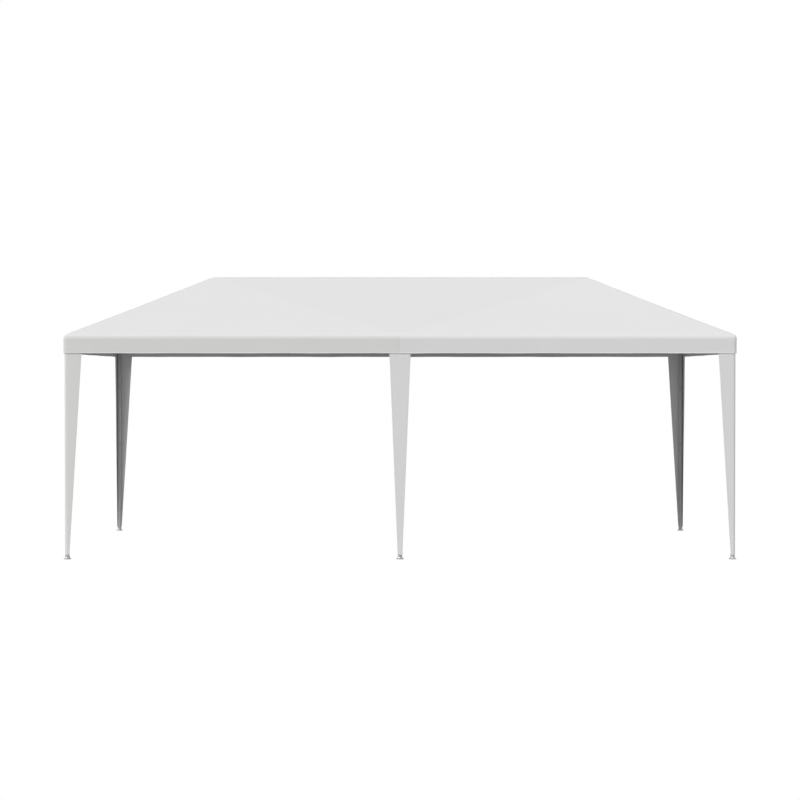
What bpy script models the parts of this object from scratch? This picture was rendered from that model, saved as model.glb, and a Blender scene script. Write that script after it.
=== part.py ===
"""Marquee tent, three by six metres: a white hipped canopy on a frame of round steel tubes.

Six poles stand on round feet and carry eave beams, hip rafters, middle rafters and a ridge,
all plugged into cast tube joints. The canopy is four sewn panels, each a slope that turns over
a rounded eave into its valance. Tapered covers hang down the outer side of every pole.

Metres, +Z up. The origin is on the ground under the middle of the tent, +X along its length,
and the front faces -Y.
"""

import math

import bmesh
import bpy
from mathutils import Vector

# Canopy
LENGTH = 6.0
WIDTH = 3.0
RIDGE_Z = 2.6
RIDGE_HALF = 1.827
EAVE_Z = 2.0  # where the planes of slope and valance would meet
VALANCE_Z = 1.838
EAVE_RADIUS = 0.055
CORNER_RADIUS = 0.030
FABRIC = 0.002
PANEL_SHIFT = 0.0002  # each panel moves this far out from its neighbours

# Leg covers
COVER_INSET = 0.007  # from the valance's outer face to the cover's
COVER_BOTTOM_Z = 0.046
COVER_TOP_Z = 1.948  # under the hubs of the joints
CORNER_FLAP_BOTTOM = 0.0424
CORNER_FLAP_TOP = 0.1610
MIDDLE_COVER_BOTTOM = 0.0429
MIDDLE_COVER_TOP = 0.1982

# Tubes
POLE_RADIUS = 0.019
POLE_BORE = 0.0166
TUBE_RADIUS = 0.016
TUBE_BORE = 0.0145
GAP = 0.0003  # left between pieces that touch
FACETS = 16

# Joints
HUB_RADIUS = 0.0205
SLEEVE_RADIUS = 0.019
SLEEVE_LENGTH = 0.110
SOCKET_START = 0.050
SOCKET_RADIUS = TUBE_RADIUS + GAP
SPIGOT_RADIUS = POLE_BORE - GAP
COLLAR_LENGTH = 0.050
SPIGOT_LENGTH = 0.060
EAVE_AXIS_Z = 1.972

# Feet
FOOT_RADIUS = 0.034
FOOT_RIM = 0.004
FOOT_HEIGHT = 0.022
FOOT_SHOULDER = 0.021
FOOT_SPIGOT = 0.045
FOOT_FACETS = 24

# Places that follow from the sizes above
POLE_INSET = COVER_INSET + FABRIC + GAP + POLE_RADIUS
POLE_X = LENGTH / 2 - POLE_INSET
POLE_Y = WIDTH / 2 - POLE_INSET
SIDE_PITCH = math.atan2(RIDGE_Z - EAVE_Z, WIDTH / 2)
END_PITCH = math.atan2(RIDGE_Z - EAVE_Z, LENGTH / 2 - RIDGE_HALF)
RIDGE_AXIS_Z = RIDGE_Z - (FABRIC + GAP + HUB_RADIUS) / math.cos(SIDE_PITCH)
RIDGE_JOINT_X = RIDGE_HALF - 0.012

SIDES = (("front", -1), ("back", 1))
ENDS = (("left", -1), ("right", 1))


def clear_scene():
    """Remove every object that the file opened with."""
    for obj in list(bpy.data.objects):
        bpy.data.objects.remove(obj, do_unlink=True)


def new_collection(name, shown=True):
    """A collection in the scene, hidden from the render when it holds only helpers."""
    collection = bpy.data.collections.new(name)
    bpy.context.scene.collection.children.link(collection)
    collection.hide_render = not shown
    return collection


def make_material(name, colour, roughness, metallic=0.0):
    """A plain Principled material."""
    material = bpy.data.materials.new(name)
    material.use_nodes = True
    shader = material.node_tree.nodes["Principled BSDF"]
    shader.inputs["Base Color"].default_value = (*colour, 1.0)
    shader.inputs["Roughness"].default_value = roughness
    shader.inputs["Metallic"].default_value = metallic
    return material


def add_object(name, mesh, material=None):
    """An object of the tent, or a hidden helper when it has no material."""
    obj = bpy.data.objects.new(name, mesh)
    if material is None:
        HELPERS.objects.link(obj)
        obj.hide_render = True
        obj.display_type = "WIRE"
    else:
        TENT.objects.link(obj)
        if not mesh.materials:
            mesh.materials.append(material)
    return obj


def mesh_from(bm, name):
    """Turn a bmesh into a mesh and free it."""
    mesh = bpy.data.meshes.new(name)
    bm.to_mesh(mesh)
    bm.free()
    return mesh


def baked_mesh(obj, name):
    """The evaluated mesh of a helper, as a mesh of its own."""
    bpy.context.view_layer.update()
    evaluated = obj.evaluated_get(bpy.context.evaluated_depsgraph_get())
    mesh = bpy.data.meshes.new_from_object(evaluated)
    mesh.name = name
    return mesh


def turned(name, profile, facets, material, closed):
    """A solid of revolution about Z, from a profile of (radius, height) points.

    An open profile starts and ends on the axis. A closed one is a ring's section.
    """
    bm = bmesh.new()
    points = [bm.verts.new((radius, 0.0, height)) for radius, height in profile]
    for first, second in zip(points, points[1:]):
        bm.edges.new((first, second))
    if closed:
        bm.edges.new((points[-1], points[0]))
    obj = add_object(name, mesh_from(bm, name), material)
    screw = obj.modifiers.new("turn", "SCREW")
    screw.steps = facets
    screw.render_steps = facets
    screw.use_merge_vertices = True
    screw.merge_threshold = 0.00001
    return obj


def tube(name, start, end, radius, bore, material):
    """A straight open-ended tube from start to end."""
    start, end = Vector(start), Vector(end)
    run = end - start
    section = [(radius, run.length), (radius, 0.0), (bore, 0.0), (bore, run.length)]
    obj = turned(name, section, FACETS, material, closed=True)
    obj.location = start
    obj.rotation_mode = "QUATERNION"
    obj.rotation_quaternion = run.to_track_quat("Z", "Y")
    return obj


def rod(name, direction, start, end, radius):
    """A solid helper cylinder along a direction, from one distance to another."""
    direction = Vector(direction).normalized()
    bm = bmesh.new()
    bmesh.ops.create_cone(
        bm, cap_ends=True, segments=FACETS, radius1=radius, radius2=radius, depth=end - start
    )
    obj = add_object(name, mesh_from(bm, name))
    obj.location = direction * (start + end) / 2
    obj.rotation_mode = "QUATERNION"
    obj.rotation_quaternion = direction.to_track_quat("Z", "Y")
    return obj


def boolean(obj, operation, other):
    """Cut or join another helper, with the exact solver."""
    modifier = obj.modifiers.new(operation.lower(), "BOOLEAN")
    modifier.operation = operation
    modifier.solver = "EXACT"
    modifier.object = other


def joint_mesh(name, sleeves, on_pole):
    """A hub with a socketed sleeve along each direction and, on a pole, a spigot below it."""
    bm = bmesh.new()
    bmesh.ops.create_uvsphere(bm, u_segments=FACETS, v_segments=FACETS // 2, radius=HUB_RADIUS)
    hub = add_object(f"{name}_hub", mesh_from(bm, f"{name}_hub"))
    down = (0, 0, -1)
    for number, direction in enumerate(sleeves):
        sleeve = rod(f"{name}_sleeve_{number}", direction, 0.0, SLEEVE_LENGTH, SLEEVE_RADIUS)
        boolean(hub, "UNION", sleeve)
    if on_pole:
        boolean(hub, "UNION", rod(f"{name}_collar", down, 0.0, COLLAR_LENGTH, POLE_RADIUS))
        spigot_end = COLLAR_LENGTH + SPIGOT_LENGTH
        boolean(hub, "UNION", rod(f"{name}_spigot", down, 0.0, spigot_end, SPIGOT_RADIUS))
    for number, direction in enumerate(sleeves):
        past_end = SLEEVE_LENGTH + SOCKET_START
        socket = rod(f"{name}_socket_{number}", direction, SOCKET_START, past_end, SOCKET_RADIUS)
        boolean(hub, "DIFFERENCE", socket)
    return baked_mesh(hub, name)


def joint_places():
    """The axis crossing of each joint, by name."""
    places = {}
    for side, y_sign in SIDES:
        for end, x_sign in ENDS:
            places[f"corner_joint_{side}_{end}"] = Vector(
                (x_sign * POLE_X, y_sign * POLE_Y, EAVE_AXIS_Z)
            )
        places[f"eave_joint_{side}"] = Vector((0.0, y_sign * POLE_Y, EAVE_AXIS_Z))
    for end, x_sign in ENDS:
        places[f"ridge_joint_{end}"] = Vector((x_sign * RIDGE_JOINT_X, 0.0, RIDGE_AXIS_Z))
    places["ridge_joint_middle"] = Vector((0.0, 0.0, RIDGE_AXIS_Z))
    return places


def build_joints(places, steel):
    """Four kinds of joint, each modelled once at +X +Y and mirrored to its other places."""
    corner = places["corner_joint_back_right"]
    eave = places["eave_joint_back"]
    ridge_end = places["ridge_joint_right"]
    ridge_middle = places["ridge_joint_middle"]
    left, right, front = Vector((-1, 0, 0)), Vector((1, 0, 0)), Vector((0, -1, 0))
    hip = ridge_end - corner
    rafter = ridge_middle - eave
    hip_across = Vector((hip.x, -hip.y, hip.z))
    rafter_across = Vector((rafter.x, -rafter.y, rafter.z))
    corner_mesh = joint_mesh("corner_joint", (left, front, hip), on_pole=True)
    eave_mesh = joint_mesh("eave_joint", (left, right, rafter), on_pole=True)
    end_mesh = joint_mesh("ridge_end_joint", (left, -hip, -hip_across), on_pole=False)
    middle_mesh = joint_mesh(
        "ridge_middle_joint", (left, right, -rafter, -rafter_across), on_pole=False
    )
    for name, place in places.items():
        if name.startswith("corner"):
            mesh = corner_mesh
        elif name.startswith("eave"):
            mesh = eave_mesh
        else:
            mesh = middle_mesh if name.endswith("middle") else end_mesh
        obj = add_object(name, mesh, steel)
        obj.location = place
        obj.scale = (-1 if place.x < 0 else 1, -1 if place.y < 0 else 1, 1)


def plugged_tube(name, first, second, steel):
    """A tube between two joints, its ends seated at the bottoms of their sockets."""
    step = (second - first).normalized() * (SOCKET_START + GAP)
    tube(name, first + step, second - step, TUBE_RADIUS, TUBE_BORE, steel)


def build_beams_and_rafters(places, steel):
    """The eave beams, the rafters and the ridge, between the joints."""
    for side, _ in SIDES:
        eave = places[f"eave_joint_{side}"]
        for end, _ in ENDS:
            corner = places[f"corner_joint_{side}_{end}"]
            plugged_tube(f"eave_beam_{side}_{end}", corner, eave, steel)
            plugged_tube(f"hip_rafter_{side}_{end}", corner, places[f"ridge_joint_{end}"], steel)
        plugged_tube(f"middle_rafter_{side}", eave, places["ridge_joint_middle"], steel)
    for end, _ in ENDS:
        front = places[f"corner_joint_front_{end}"]
        back = places[f"corner_joint_back_{end}"]
        plugged_tube(f"eave_beam_{end}_end", front, back, steel)
        ridge_end = places[f"ridge_joint_{end}"]
        plugged_tube(f"ridge_tube_{end}", ridge_end, places["ridge_joint_middle"], steel)


def build_legs(steel, foot_steel):
    """Six poles, each over the spigot of its foot."""
    top = EAVE_AXIS_Z - COLLAR_LENGTH - GAP
    bottom = FOOT_HEIGHT + GAP
    foot_profile = [
        (0.0, FOOT_HEIGHT + FOOT_SPIGOT),
        (SPIGOT_RADIUS, FOOT_HEIGHT + FOOT_SPIGOT),
        (SPIGOT_RADIUS, FOOT_HEIGHT),
        (FOOT_SHOULDER, FOOT_HEIGHT),
        (FOOT_SHOULDER + 0.002, FOOT_HEIGHT * 0.6),
        (FOOT_RADIUS, FOOT_RIM),
        (FOOT_RADIUS, 0.0),
        (0.0, 0.0),
    ]
    for side, y_sign in SIDES:
        for end, x_sign in (*ENDS, ("middle", 0)):
            x, y = x_sign * POLE_X, y_sign * POLE_Y
            tube(f"pole_{side}_{end}", (x, y, bottom), (x, y, top), POLE_RADIUS, POLE_BORE, steel)
            name = f"foot_{side}_{end}"
            foot = turned(name, foot_profile, FOOT_FACETS, foot_steel, closed=False)
            foot.location = (x, y, 0.0)


def eave_arc(pitch, steps=5):
    """Points (inset, height) of the rounded eave, from the valance up to the slope."""
    centre_z = EAVE_Z - EAVE_RADIUS * (1 - math.sin(pitch)) / math.cos(pitch)
    first, last = math.pi, math.pi / 2 + pitch
    arc = []
    for step in range(steps + 1):
        angle = first + (last - first) * step / steps
        arc.append(
            (EAVE_RADIUS * (1 + math.cos(angle)), centre_z + EAVE_RADIUS * math.sin(angle))
        )
    return arc


def canopy_ring(side_inset, side_z, end_inset, end_z, radius, corner_steps=4):
    """One level of the canopy: a rounded rectangle that is a little higher on two of its sides."""
    ring = []
    for quarter in range(4):
        x_sign = (1, -1, -1, 1)[quarter]
        y_sign = (1, 1, -1, -1)[quarter]
        centre_x = LENGTH / 2 - end_inset - radius
        centre_y = WIDTH / 2 - side_inset - radius
        for step in range(corner_steps + 1):
            turn = step if quarter % 2 == 0 else corner_steps - step
            share = turn / corner_steps
            angle = share * math.pi / 2
            ring.append(
                (
                    x_sign * (centre_x + radius * math.cos(angle)),
                    y_sign * (centre_y + radius * math.sin(angle)),
                    end_z + (side_z - end_z) * share,
                )
            )
    return ring


def canopy_blank():
    """The whole canopy as one hidden shell, lofted up from the hem of the valance to the ridge."""
    side_arc, end_arc = eave_arc(SIDE_PITCH), eave_arc(END_PITCH)
    rings = [canopy_ring(0.0, VALANCE_Z, 0.0, VALANCE_Z, CORNER_RADIUS)]
    for side, end in zip(side_arc, end_arc):
        rings.append(canopy_ring(*side, *end, CORNER_RADIUS))
    rings.append(canopy_ring(WIDTH / 2, RIDGE_Z, LENGTH / 2 - RIDGE_HALF, RIDGE_Z, 0.0))
    bm = bmesh.new()
    levels = [[bm.verts.new(point) for point in ring] for ring in rings]
    count = len(levels[0])
    for lower, upper in zip(levels, levels[1:]):
        for index in range(count):
            after = (index + 1) % count
            bm.faces.new((lower[index], lower[after], upper[after], upper[index]))
    bmesh.ops.remove_doubles(bm, verts=bm.verts, dist=0.00001)
    bmesh.ops.triangulate(bm, faces=bm.faces)
    blank = add_object("canopy_blank", mesh_from(bm, "canopy_blank"))
    wall = blank.modifiers.new("wall", "SOLIDIFY")
    wall.thickness = FABRIC
    wall.offset = -1.0
    wall.use_even_offset = True
    return baked_mesh(blank, "canopy")


def prism(name, outline, bottom, top):
    """A hidden upright prism on a flat outline."""
    bm = bmesh.new()
    base = bm.faces.new([bm.verts.new((x, y, bottom)) for x, y in outline])
    grown = bmesh.ops.extrude_face_region(bm, geom=[base])["geom"]
    raised = [item for item in grown if isinstance(item, bmesh.types.BMVert)]
    bmesh.ops.translate(bm, verts=raised, vec=(0, 0, top - bottom))
    bmesh.ops.recalc_face_normals(bm, faces=bm.faces)
    return add_object(name, mesh_from(bm, name))


def build_roof(fabric):
    """Four panels, parted along the ridge and the hips."""
    canopy = canopy_blank()
    reach = 1.2  # past the corners, along the hips
    corner_x = RIDGE_HALF + reach * (LENGTH / 2 - RIDGE_HALF)
    corner_y = reach * WIDTH / 2
    zones = {}
    for side, sign in SIDES:
        outline = [
            (-corner_x, sign * corner_y),
            (corner_x, sign * corner_y),
            (RIDGE_HALF, 0.0),
            (-RIDGE_HALF, 0.0),
        ]
        zones[f"roof_panel_{side}"] = (outline, (0.0, sign * PANEL_SHIFT))
    for end, sign in ENDS:
        outline = [
            (sign * RIDGE_HALF, 0.0),
            (sign * corner_x, corner_y),
            (sign * corner_x, -corner_y),
        ]
        zones[f"roof_panel_{end}_end"] = (outline, (sign * PANEL_SHIFT, 0.0))
    for name, (outline, shift) in zones.items():
        moved = [(x + shift[0], y + shift[1]) for x, y in outline]
        zone = prism(f"{name}_zone", moved, VALANCE_Z - 0.1, RIDGE_Z + 0.1)
        panel = add_object(name, canopy.copy(), fabric)
        boolean(panel, "INTERSECT", zone)


def sheet(name, rows, fabric):
    """A hanging sheet from rows of points, given its thickness on the inner side."""
    bm = bmesh.new()
    grid = [[bm.verts.new(point) for point in row] for row in rows]
    for lower, upper in zip(grid, grid[1:]):
        for index in range(len(lower) - 1):
            bm.faces.new((lower[index], lower[index + 1], upper[index + 1], upper[index]))
    obj = add_object(name, mesh_from(bm, name), fabric)
    wall = obj.modifiers.new("wall", "SOLIDIFY")
    wall.thickness = FABRIC
    wall.offset = -1.0
    wall.use_even_offset = True
    return obj


def corner_cover_row(z, flap, steps=4):
    """One level of a corner cover at +X +Y: the end flap, the bend round the pole, the side flap."""
    outer_x = LENGTH / 2 - COVER_INSET
    outer_y = WIDTH / 2 - COVER_INSET
    bend = POLE_RADIUS + GAP + FABRIC
    row = [(outer_x, outer_y - flap, z)]
    for step in range(steps + 1):
        angle = math.pi / 2 * step / steps
        x = outer_x - bend + bend * math.cos(angle)
        y = outer_y - bend + bend * math.sin(angle)
        row.append((x, y, z))
    row.append((outer_x - flap, outer_y, z))
    return row


def build_leg_covers(fabric):
    """Bent covers at the corners and flat ones in the middle, tapering towards the feet."""
    rows = [
        corner_cover_row(COVER_BOTTOM_Z, CORNER_FLAP_BOTTOM),
        corner_cover_row(COVER_TOP_Z, CORNER_FLAP_TOP),
    ]
    for side, y_sign in SIDES:
        for end, x_sign in ENDS:
            obj = sheet(f"leg_cover_{side}_{end}", rows, fabric)
            obj.scale = (x_sign, y_sign, 1)
        y = WIDTH / 2 - COVER_INSET
        levels = (
            (COVER_BOTTOM_Z, MIDDLE_COVER_BOTTOM / 2),
            (COVER_TOP_Z, MIDDLE_COVER_TOP / 2),
        )
        flat = [[(half, y, z), (-half, y, z)] for z, half in levels]
        obj = sheet(f"leg_cover_{side}_middle", flat, fabric)
        obj.scale = (1, y_sign, 1)


def main():
    """Model the tent piece by piece."""
    steel = make_material("tube_steel", (0.62, 0.62, 0.61), 0.42, 0.6)
    foot_steel = make_material("foot_steel", (0.50, 0.50, 0.49), 0.38, 0.8)
    roof_fabric = make_material("roof_fabric", (0.80, 0.80, 0.79), 0.60)
    cover_fabric = make_material("cover_fabric", (0.78, 0.78, 0.78), 0.65)
    places = joint_places()
    build_legs(steel, foot_steel)
    build_joints(places, steel)
    build_beams_and_rafters(places, steel)
    build_roof(roof_fabric)
    build_leg_covers(cover_fabric)


clear_scene()
TENT = new_collection("marquee_tent")
HELPERS = new_collection("helpers", shown=False)
main()
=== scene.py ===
"""Looks of a marquee tent, three by six metres: sewn white sheet on a frame of round steel tubes.

Metres, +Z up, +X along the tent, and the front faces -Y. The frame gives the sizes that it has,
and the others are named here.
"""

import logging
import math
from dataclasses import dataclass, field, replace
from enum import Enum

import bmesh
import bpy
import numpy as np
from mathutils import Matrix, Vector


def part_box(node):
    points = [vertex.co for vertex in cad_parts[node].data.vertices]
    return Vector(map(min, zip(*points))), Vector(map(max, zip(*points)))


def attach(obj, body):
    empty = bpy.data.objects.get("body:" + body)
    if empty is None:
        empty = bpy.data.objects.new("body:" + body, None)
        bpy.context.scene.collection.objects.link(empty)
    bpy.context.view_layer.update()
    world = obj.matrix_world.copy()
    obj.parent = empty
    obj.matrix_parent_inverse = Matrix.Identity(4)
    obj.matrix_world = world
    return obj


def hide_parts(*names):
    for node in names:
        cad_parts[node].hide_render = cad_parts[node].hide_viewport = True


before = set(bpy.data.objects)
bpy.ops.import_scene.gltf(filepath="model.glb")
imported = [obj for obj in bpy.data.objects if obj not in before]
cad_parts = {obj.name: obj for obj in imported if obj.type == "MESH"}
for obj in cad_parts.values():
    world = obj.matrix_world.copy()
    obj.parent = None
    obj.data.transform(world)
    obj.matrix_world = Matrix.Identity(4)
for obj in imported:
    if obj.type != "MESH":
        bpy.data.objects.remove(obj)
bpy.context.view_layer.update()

LOG = logging.getLogger("marquee_tent")
Colour = tuple[float, float, float]
Profile = list[tuple[float, float]]
Seat = tuple[Vector, Vector]
Joints = dict[str, tuple[Vector, list[Vector]]]
SHARP_ANGLE = math.radians(35)
UP = Vector((0, 0, 1))


class Side(Enum):
    """The long sides, by the sign of Y."""

    FRONT = -1
    BACK = 1


class End(Enum):
    """The places along a long side, by the sign of X."""

    LEFT = -1
    MIDDLE = 0
    RIGHT = 1

    @property
    def inwards(self) -> tuple[int, ...]:
        """The ways along X in which a beam leaves this place: both of them in the middle."""
        return (1, -1) if self is End.MIDDLE else (-self.value,)


class Slot(Enum):
    """The record's material slots."""

    TUBE = "tube_steel"
    JOINT = "joint_steel"
    FOOT = "foot_steel"
    ROOF = "roof_fabric"
    COVER = "cover_fabric"


ENDS = (End.LEFT, End.RIGHT)


def spot(side: Side, end: End) -> str:
    """The tail of a node's name that says where it stands."""
    return f"{side.name.lower()}_{end.name.lower()}"


@dataclass(frozen=True)
class Eave:
    """The rounded edge where a slope turns down into its valance."""

    pitch: float
    radius: float
    edge_z: float
    set_back: float = 0.0

    @property
    def centre_z(self) -> float:
        """Height of the middle of the arc."""
        return self.edge_z - self.radius * (1 - math.sin(self.pitch)) / math.cos(self.pitch)

    def point(self, share: float) -> tuple[float, float]:
        """A point on the arc.

        Args:
            share: 0 where the arc leaves the valance, 1 where it meets the slope.

        Returns:
            Its inset from the valance and its height.
        """
        angle = math.pi + (self.pitch - math.pi / 2) * share
        inset = self.radius * (1 + math.cos(angle)) + self.set_back * share
        return inset, self.centre_z + self.radius * math.sin(angle)

    def height(self, inset: float) -> float:
        """Height of the sheet over a point that lies a little way in from the valance."""
        inset -= self.set_back
        if inset > self.radius * (1 - math.sin(self.pitch)):
            return self.edge_z + inset * math.tan(self.pitch)
        return self.centre_z + math.sqrt(self.radius**2 - (self.radius - inset) ** 2)


@dataclass(frozen=True)
class TentSizes:
    """The tent's main sizes, most of them read from the frame."""

    half_length: float
    half_width: float
    ridge_half: float
    ridge_z: float
    hem_z: float
    pole_x: float
    pole_y: float
    pole_radius: float
    pole_bottom: float
    pole_top: float
    tube_radius: float
    beam_z: float
    ridge_axis_z: float
    ridge_joint_x: float
    cover_x: float
    cover_y: float
    cover_bottom: float
    cover_top: float
    eave_z: float = 2.0
    side_eave_radius: float = 0.050
    end_eave_radius: float = 0.035
    end_set_back: float = 0.007
    socket_depth: float = 0.0503
    hub_radius: float = 0.0205
    sleeve_radius: float = 0.019

    @classmethod
    def from_frame(cls) -> "TentSizes":
        """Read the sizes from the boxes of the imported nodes.

        Returns:
            The sizes.
        """
        back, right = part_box("roof_panel_back"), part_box("roof_panel_right_end")
        pole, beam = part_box("pole_back_right"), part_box("eave_beam_back_right")
        ridge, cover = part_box("ridge_tube_right"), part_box("leg_cover_back_right")
        socket_depth = cls.socket_depth
        return cls(
            half_length=right[1].x,
            half_width=back[1].y,
            ridge_half=right[0].x,
            ridge_z=back[1].z,
            hem_z=back[0].z,
            pole_x=(pole[0].x + pole[1].x) / 2,
            pole_y=(pole[0].y + pole[1].y) / 2,
            pole_radius=(pole[1].x - pole[0].x) / 2,
            pole_bottom=pole[0].z,
            pole_top=pole[1].z,
            tube_radius=(beam[1].z - beam[0].z) / 2,
            beam_z=(beam[0].z + beam[1].z) / 2,
            ridge_axis_z=(ridge[0].z + ridge[1].z) / 2,
            ridge_joint_x=ridge[1].x + socket_depth,
            cover_x=cover[1].x,
            cover_y=cover[1].y,
            cover_bottom=cover[0].z,
            cover_top=cover[1].z,
        )

    @property
    def side_pitch(self) -> float:
        """Pitch of the front and back slopes."""
        return math.atan2(self.ridge_z - self.eave_z, self.half_width)

    @property
    def end_pitch(self) -> float:
        """Pitch of the two hipped ends."""
        return math.atan2(self.ridge_z - self.eave_z, self.half_length - self.ridge_half)

    @property
    def side_eave(self) -> Eave:
        """The eaves of the front and the back."""
        return Eave(self.side_pitch, self.side_eave_radius, self.eave_z)

    @property
    def end_eave(self) -> Eave:
        """The eaves of the two ends, whose slopes are drawn in a little behind their edge."""
        return Eave(self.end_pitch, self.end_eave_radius, self.eave_z, self.end_set_back)

    def stands(self) -> list[tuple[Side, End, Vector]]:
        """Each pole's side and end, and where its axis meets the ground."""
        return [
            (side, end, Vector((self.pole_x * end.value, self.pole_y * side.value, 0)))
            for side in Side
            for end in End
        ]


SIZES = TentSizes.from_frame()


class Graph:
    """Adds nodes to a tree and links them, one call for each."""

    def __init__(self, tree: bpy.types.NodeTree) -> None:
        """Keep the tree that the nodes go into."""
        self.tree = tree

    def add(
        self, kind: str, inputs: dict[str | int, object] | None = None, **settings: object
    ) -> bpy.types.Node:
        """Add one node.

        Args:
            kind: Blender's name of the node's type.
            inputs: For an input's name or number, a value or another node's output.
            **settings: The node's own properties.

        Returns:
            The new node.
        """
        node = self.tree.nodes.new(kind)
        for name, value in settings.items():
            setattr(node, name, value)
        for key, value in (inputs or {}).items():
            if isinstance(value, bpy.types.NodeSocket):
                self.tree.links.new(value, node.inputs[key])
            else:
                node.inputs[key].default_value = value
        return node

    def math(self, operation: str, *values: object) -> bpy.types.NodeSocket:
        """The result of a Math node on the given values."""
        return self.add("ShaderNodeMath", dict(enumerate(values)), operation=operation).outputs[0]

    def span(self, value: object, low: float, high: float) -> bpy.types.NodeSocket:
        """A value from 0 to 1 spread over the span from low to high."""
        return self.add("ShaderNodeMapRange", {"Value": value, "To Min": low, "To Max": high}).outputs[0]


def new_group(name: str, kind: str, inputs: dict[str, str], outputs: dict[str, str]) -> Graph:
    """Start a node group with named inputs and outputs.

    Args:
        name: The group's name.
        kind: ShaderNodeTree or GeometryNodeTree.
        inputs: The kind of each named input, such as Float or Vector.
        outputs: The kind of each named output.

    Returns:
        The group's graph.
    """
    tree = bpy.data.node_groups.new(name, kind)
    for label, socket in inputs.items():
        tree.interface.new_socket(label, in_out="INPUT", socket_type=f"NodeSocket{socket}")
    for label, socket in outputs.items():
        tree.interface.new_socket(label, in_out="OUTPUT", socket_type=f"NodeSocket{socket}")
    return Graph(tree)


def dressed_tree(graph: Graph, instances: bpy.types.Node, material: object) -> bpy.types.NodeTree:
    """End a geometry tree: its instances made real and given their material.

    Args:
        graph: The tree's graph.
        instances: The node that sets out the instances.
        material: The output that gives the material.

    Returns:
        The tree.
    """
    real = graph.add("GeometryNodeRealizeInstances", {"Geometry": instances.outputs[0]})
    dressed = graph.add("GeometryNodeSetMaterial", {"Geometry": real.outputs[0], "Material": material})
    graph.add("NodeGroupOutput", {"Geometry": dressed.outputs[0]})
    return graph.tree


class Effects:
    """The surface effects that several finishes share, as node groups."""

    def __init__(self) -> None:
        """Build each group once."""
        self.weave = self.tape_weave()
        self.mottle = self.cloudy_mottle()
        self.scuff = self.scuff_marks()

    @staticmethod
    def tape_weave() -> bpy.types.NodeTree:
        """Flat tapes woven over and under each other, as a height.

        Returns:
            The group, which reads a position in metres and the pitch of the tapes.
        """
        graph = new_group(
            "tape_weave", "ShaderNodeTree", {"Vector": "Vector", "Pitch": "Float"}, {"Height": "Float"}
        )
        source = graph.add("NodeGroupInput")
        place = graph.add("ShaderNodeSeparateXYZ", {"Vector": source.outputs["Vector"]})
        waves = []
        for axis in ("X", "Y"):
            turns = graph.math("DIVIDE", place.outputs[axis], source.outputs["Pitch"])
            waves.append(graph.math("SINE", graph.math("MULTIPLY", turns, math.pi)))
        over = graph.math("GREATER_THAN", graph.math("MULTIPLY", *waves), 0.0)
        warp, weft = (graph.math("POWER", graph.math("ABSOLUTE", wave), 0.5) for wave in waves)
        warp_on_top = graph.math("MULTIPLY", over, warp)
        weft_on_top = graph.math("MULTIPLY", graph.math("SUBTRACT", 1.0, over), weft)
        graph.add("NodeGroupOutput", {"Height": graph.math("ADD", warp_on_top, weft_on_top)})
        return graph.tree

    @staticmethod
    def cloudy_mottle() -> bpy.types.NodeTree:
        """Soft clouds from 0 to 1.

        Returns:
            The group, which reads a position and the size of a cloud in metres.
        """
        graph = new_group(
            "cloudy_mottle", "ShaderNodeTree", {"Vector": "Vector", "Size": "Float"}, {"Value": "Float"}
        )
        source = graph.add("NodeGroupInput")
        scale = graph.math("DIVIDE", 1.0, source.outputs["Size"])
        noise = graph.add(
            "ShaderNodeTexNoise",
            {"Vector": source.outputs["Vector"], "Scale": scale, "Detail": 3.0, "Roughness": 0.5},
        )
        graph.add("NodeGroupOutput", {"Value": noise.outputs[0]})
        return graph.tree

    @staticmethod
    def scuff_marks() -> bpy.types.NodeTree:
        """Thin upright scratches and rub marks, as a mask.

        Returns:
            The group, which reads a position, the size of a mark and the share of it that shows.
        """
        graph = new_group(
            "scuff_marks",
            "ShaderNodeTree",
            {"Vector": "Vector", "Size": "Float", "Amount": "Float"},
            {"Mask": "Float"},
        )
        source = graph.add("NodeGroupInput")
        stretched = graph.add(
            "ShaderNodeVectorMath",
            {0: source.outputs["Vector"], 1: (1.0, 1.0, 0.12)},
            operation="MULTIPLY",
        )
        scale = graph.math("DIVIDE", 1.0, source.outputs["Size"])
        noise = graph.add(
            "ShaderNodeTexNoise",
            {"Vector": stretched.outputs[0], "Scale": scale, "Detail": 4.0, "Roughness": 0.65},
        )
        threshold = graph.math("SUBTRACT", 1.0, source.outputs["Amount"])
        past = graph.math("SUBTRACT", noise.outputs[0], threshold)
        mask = graph.add("ShaderNodeMath", {0: past, 1: 9.0}, operation="MULTIPLY", use_clamp=True)
        graph.add("NodeGroupOutput", {"Mask": mask.outputs[0]})
        return graph.tree


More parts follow.
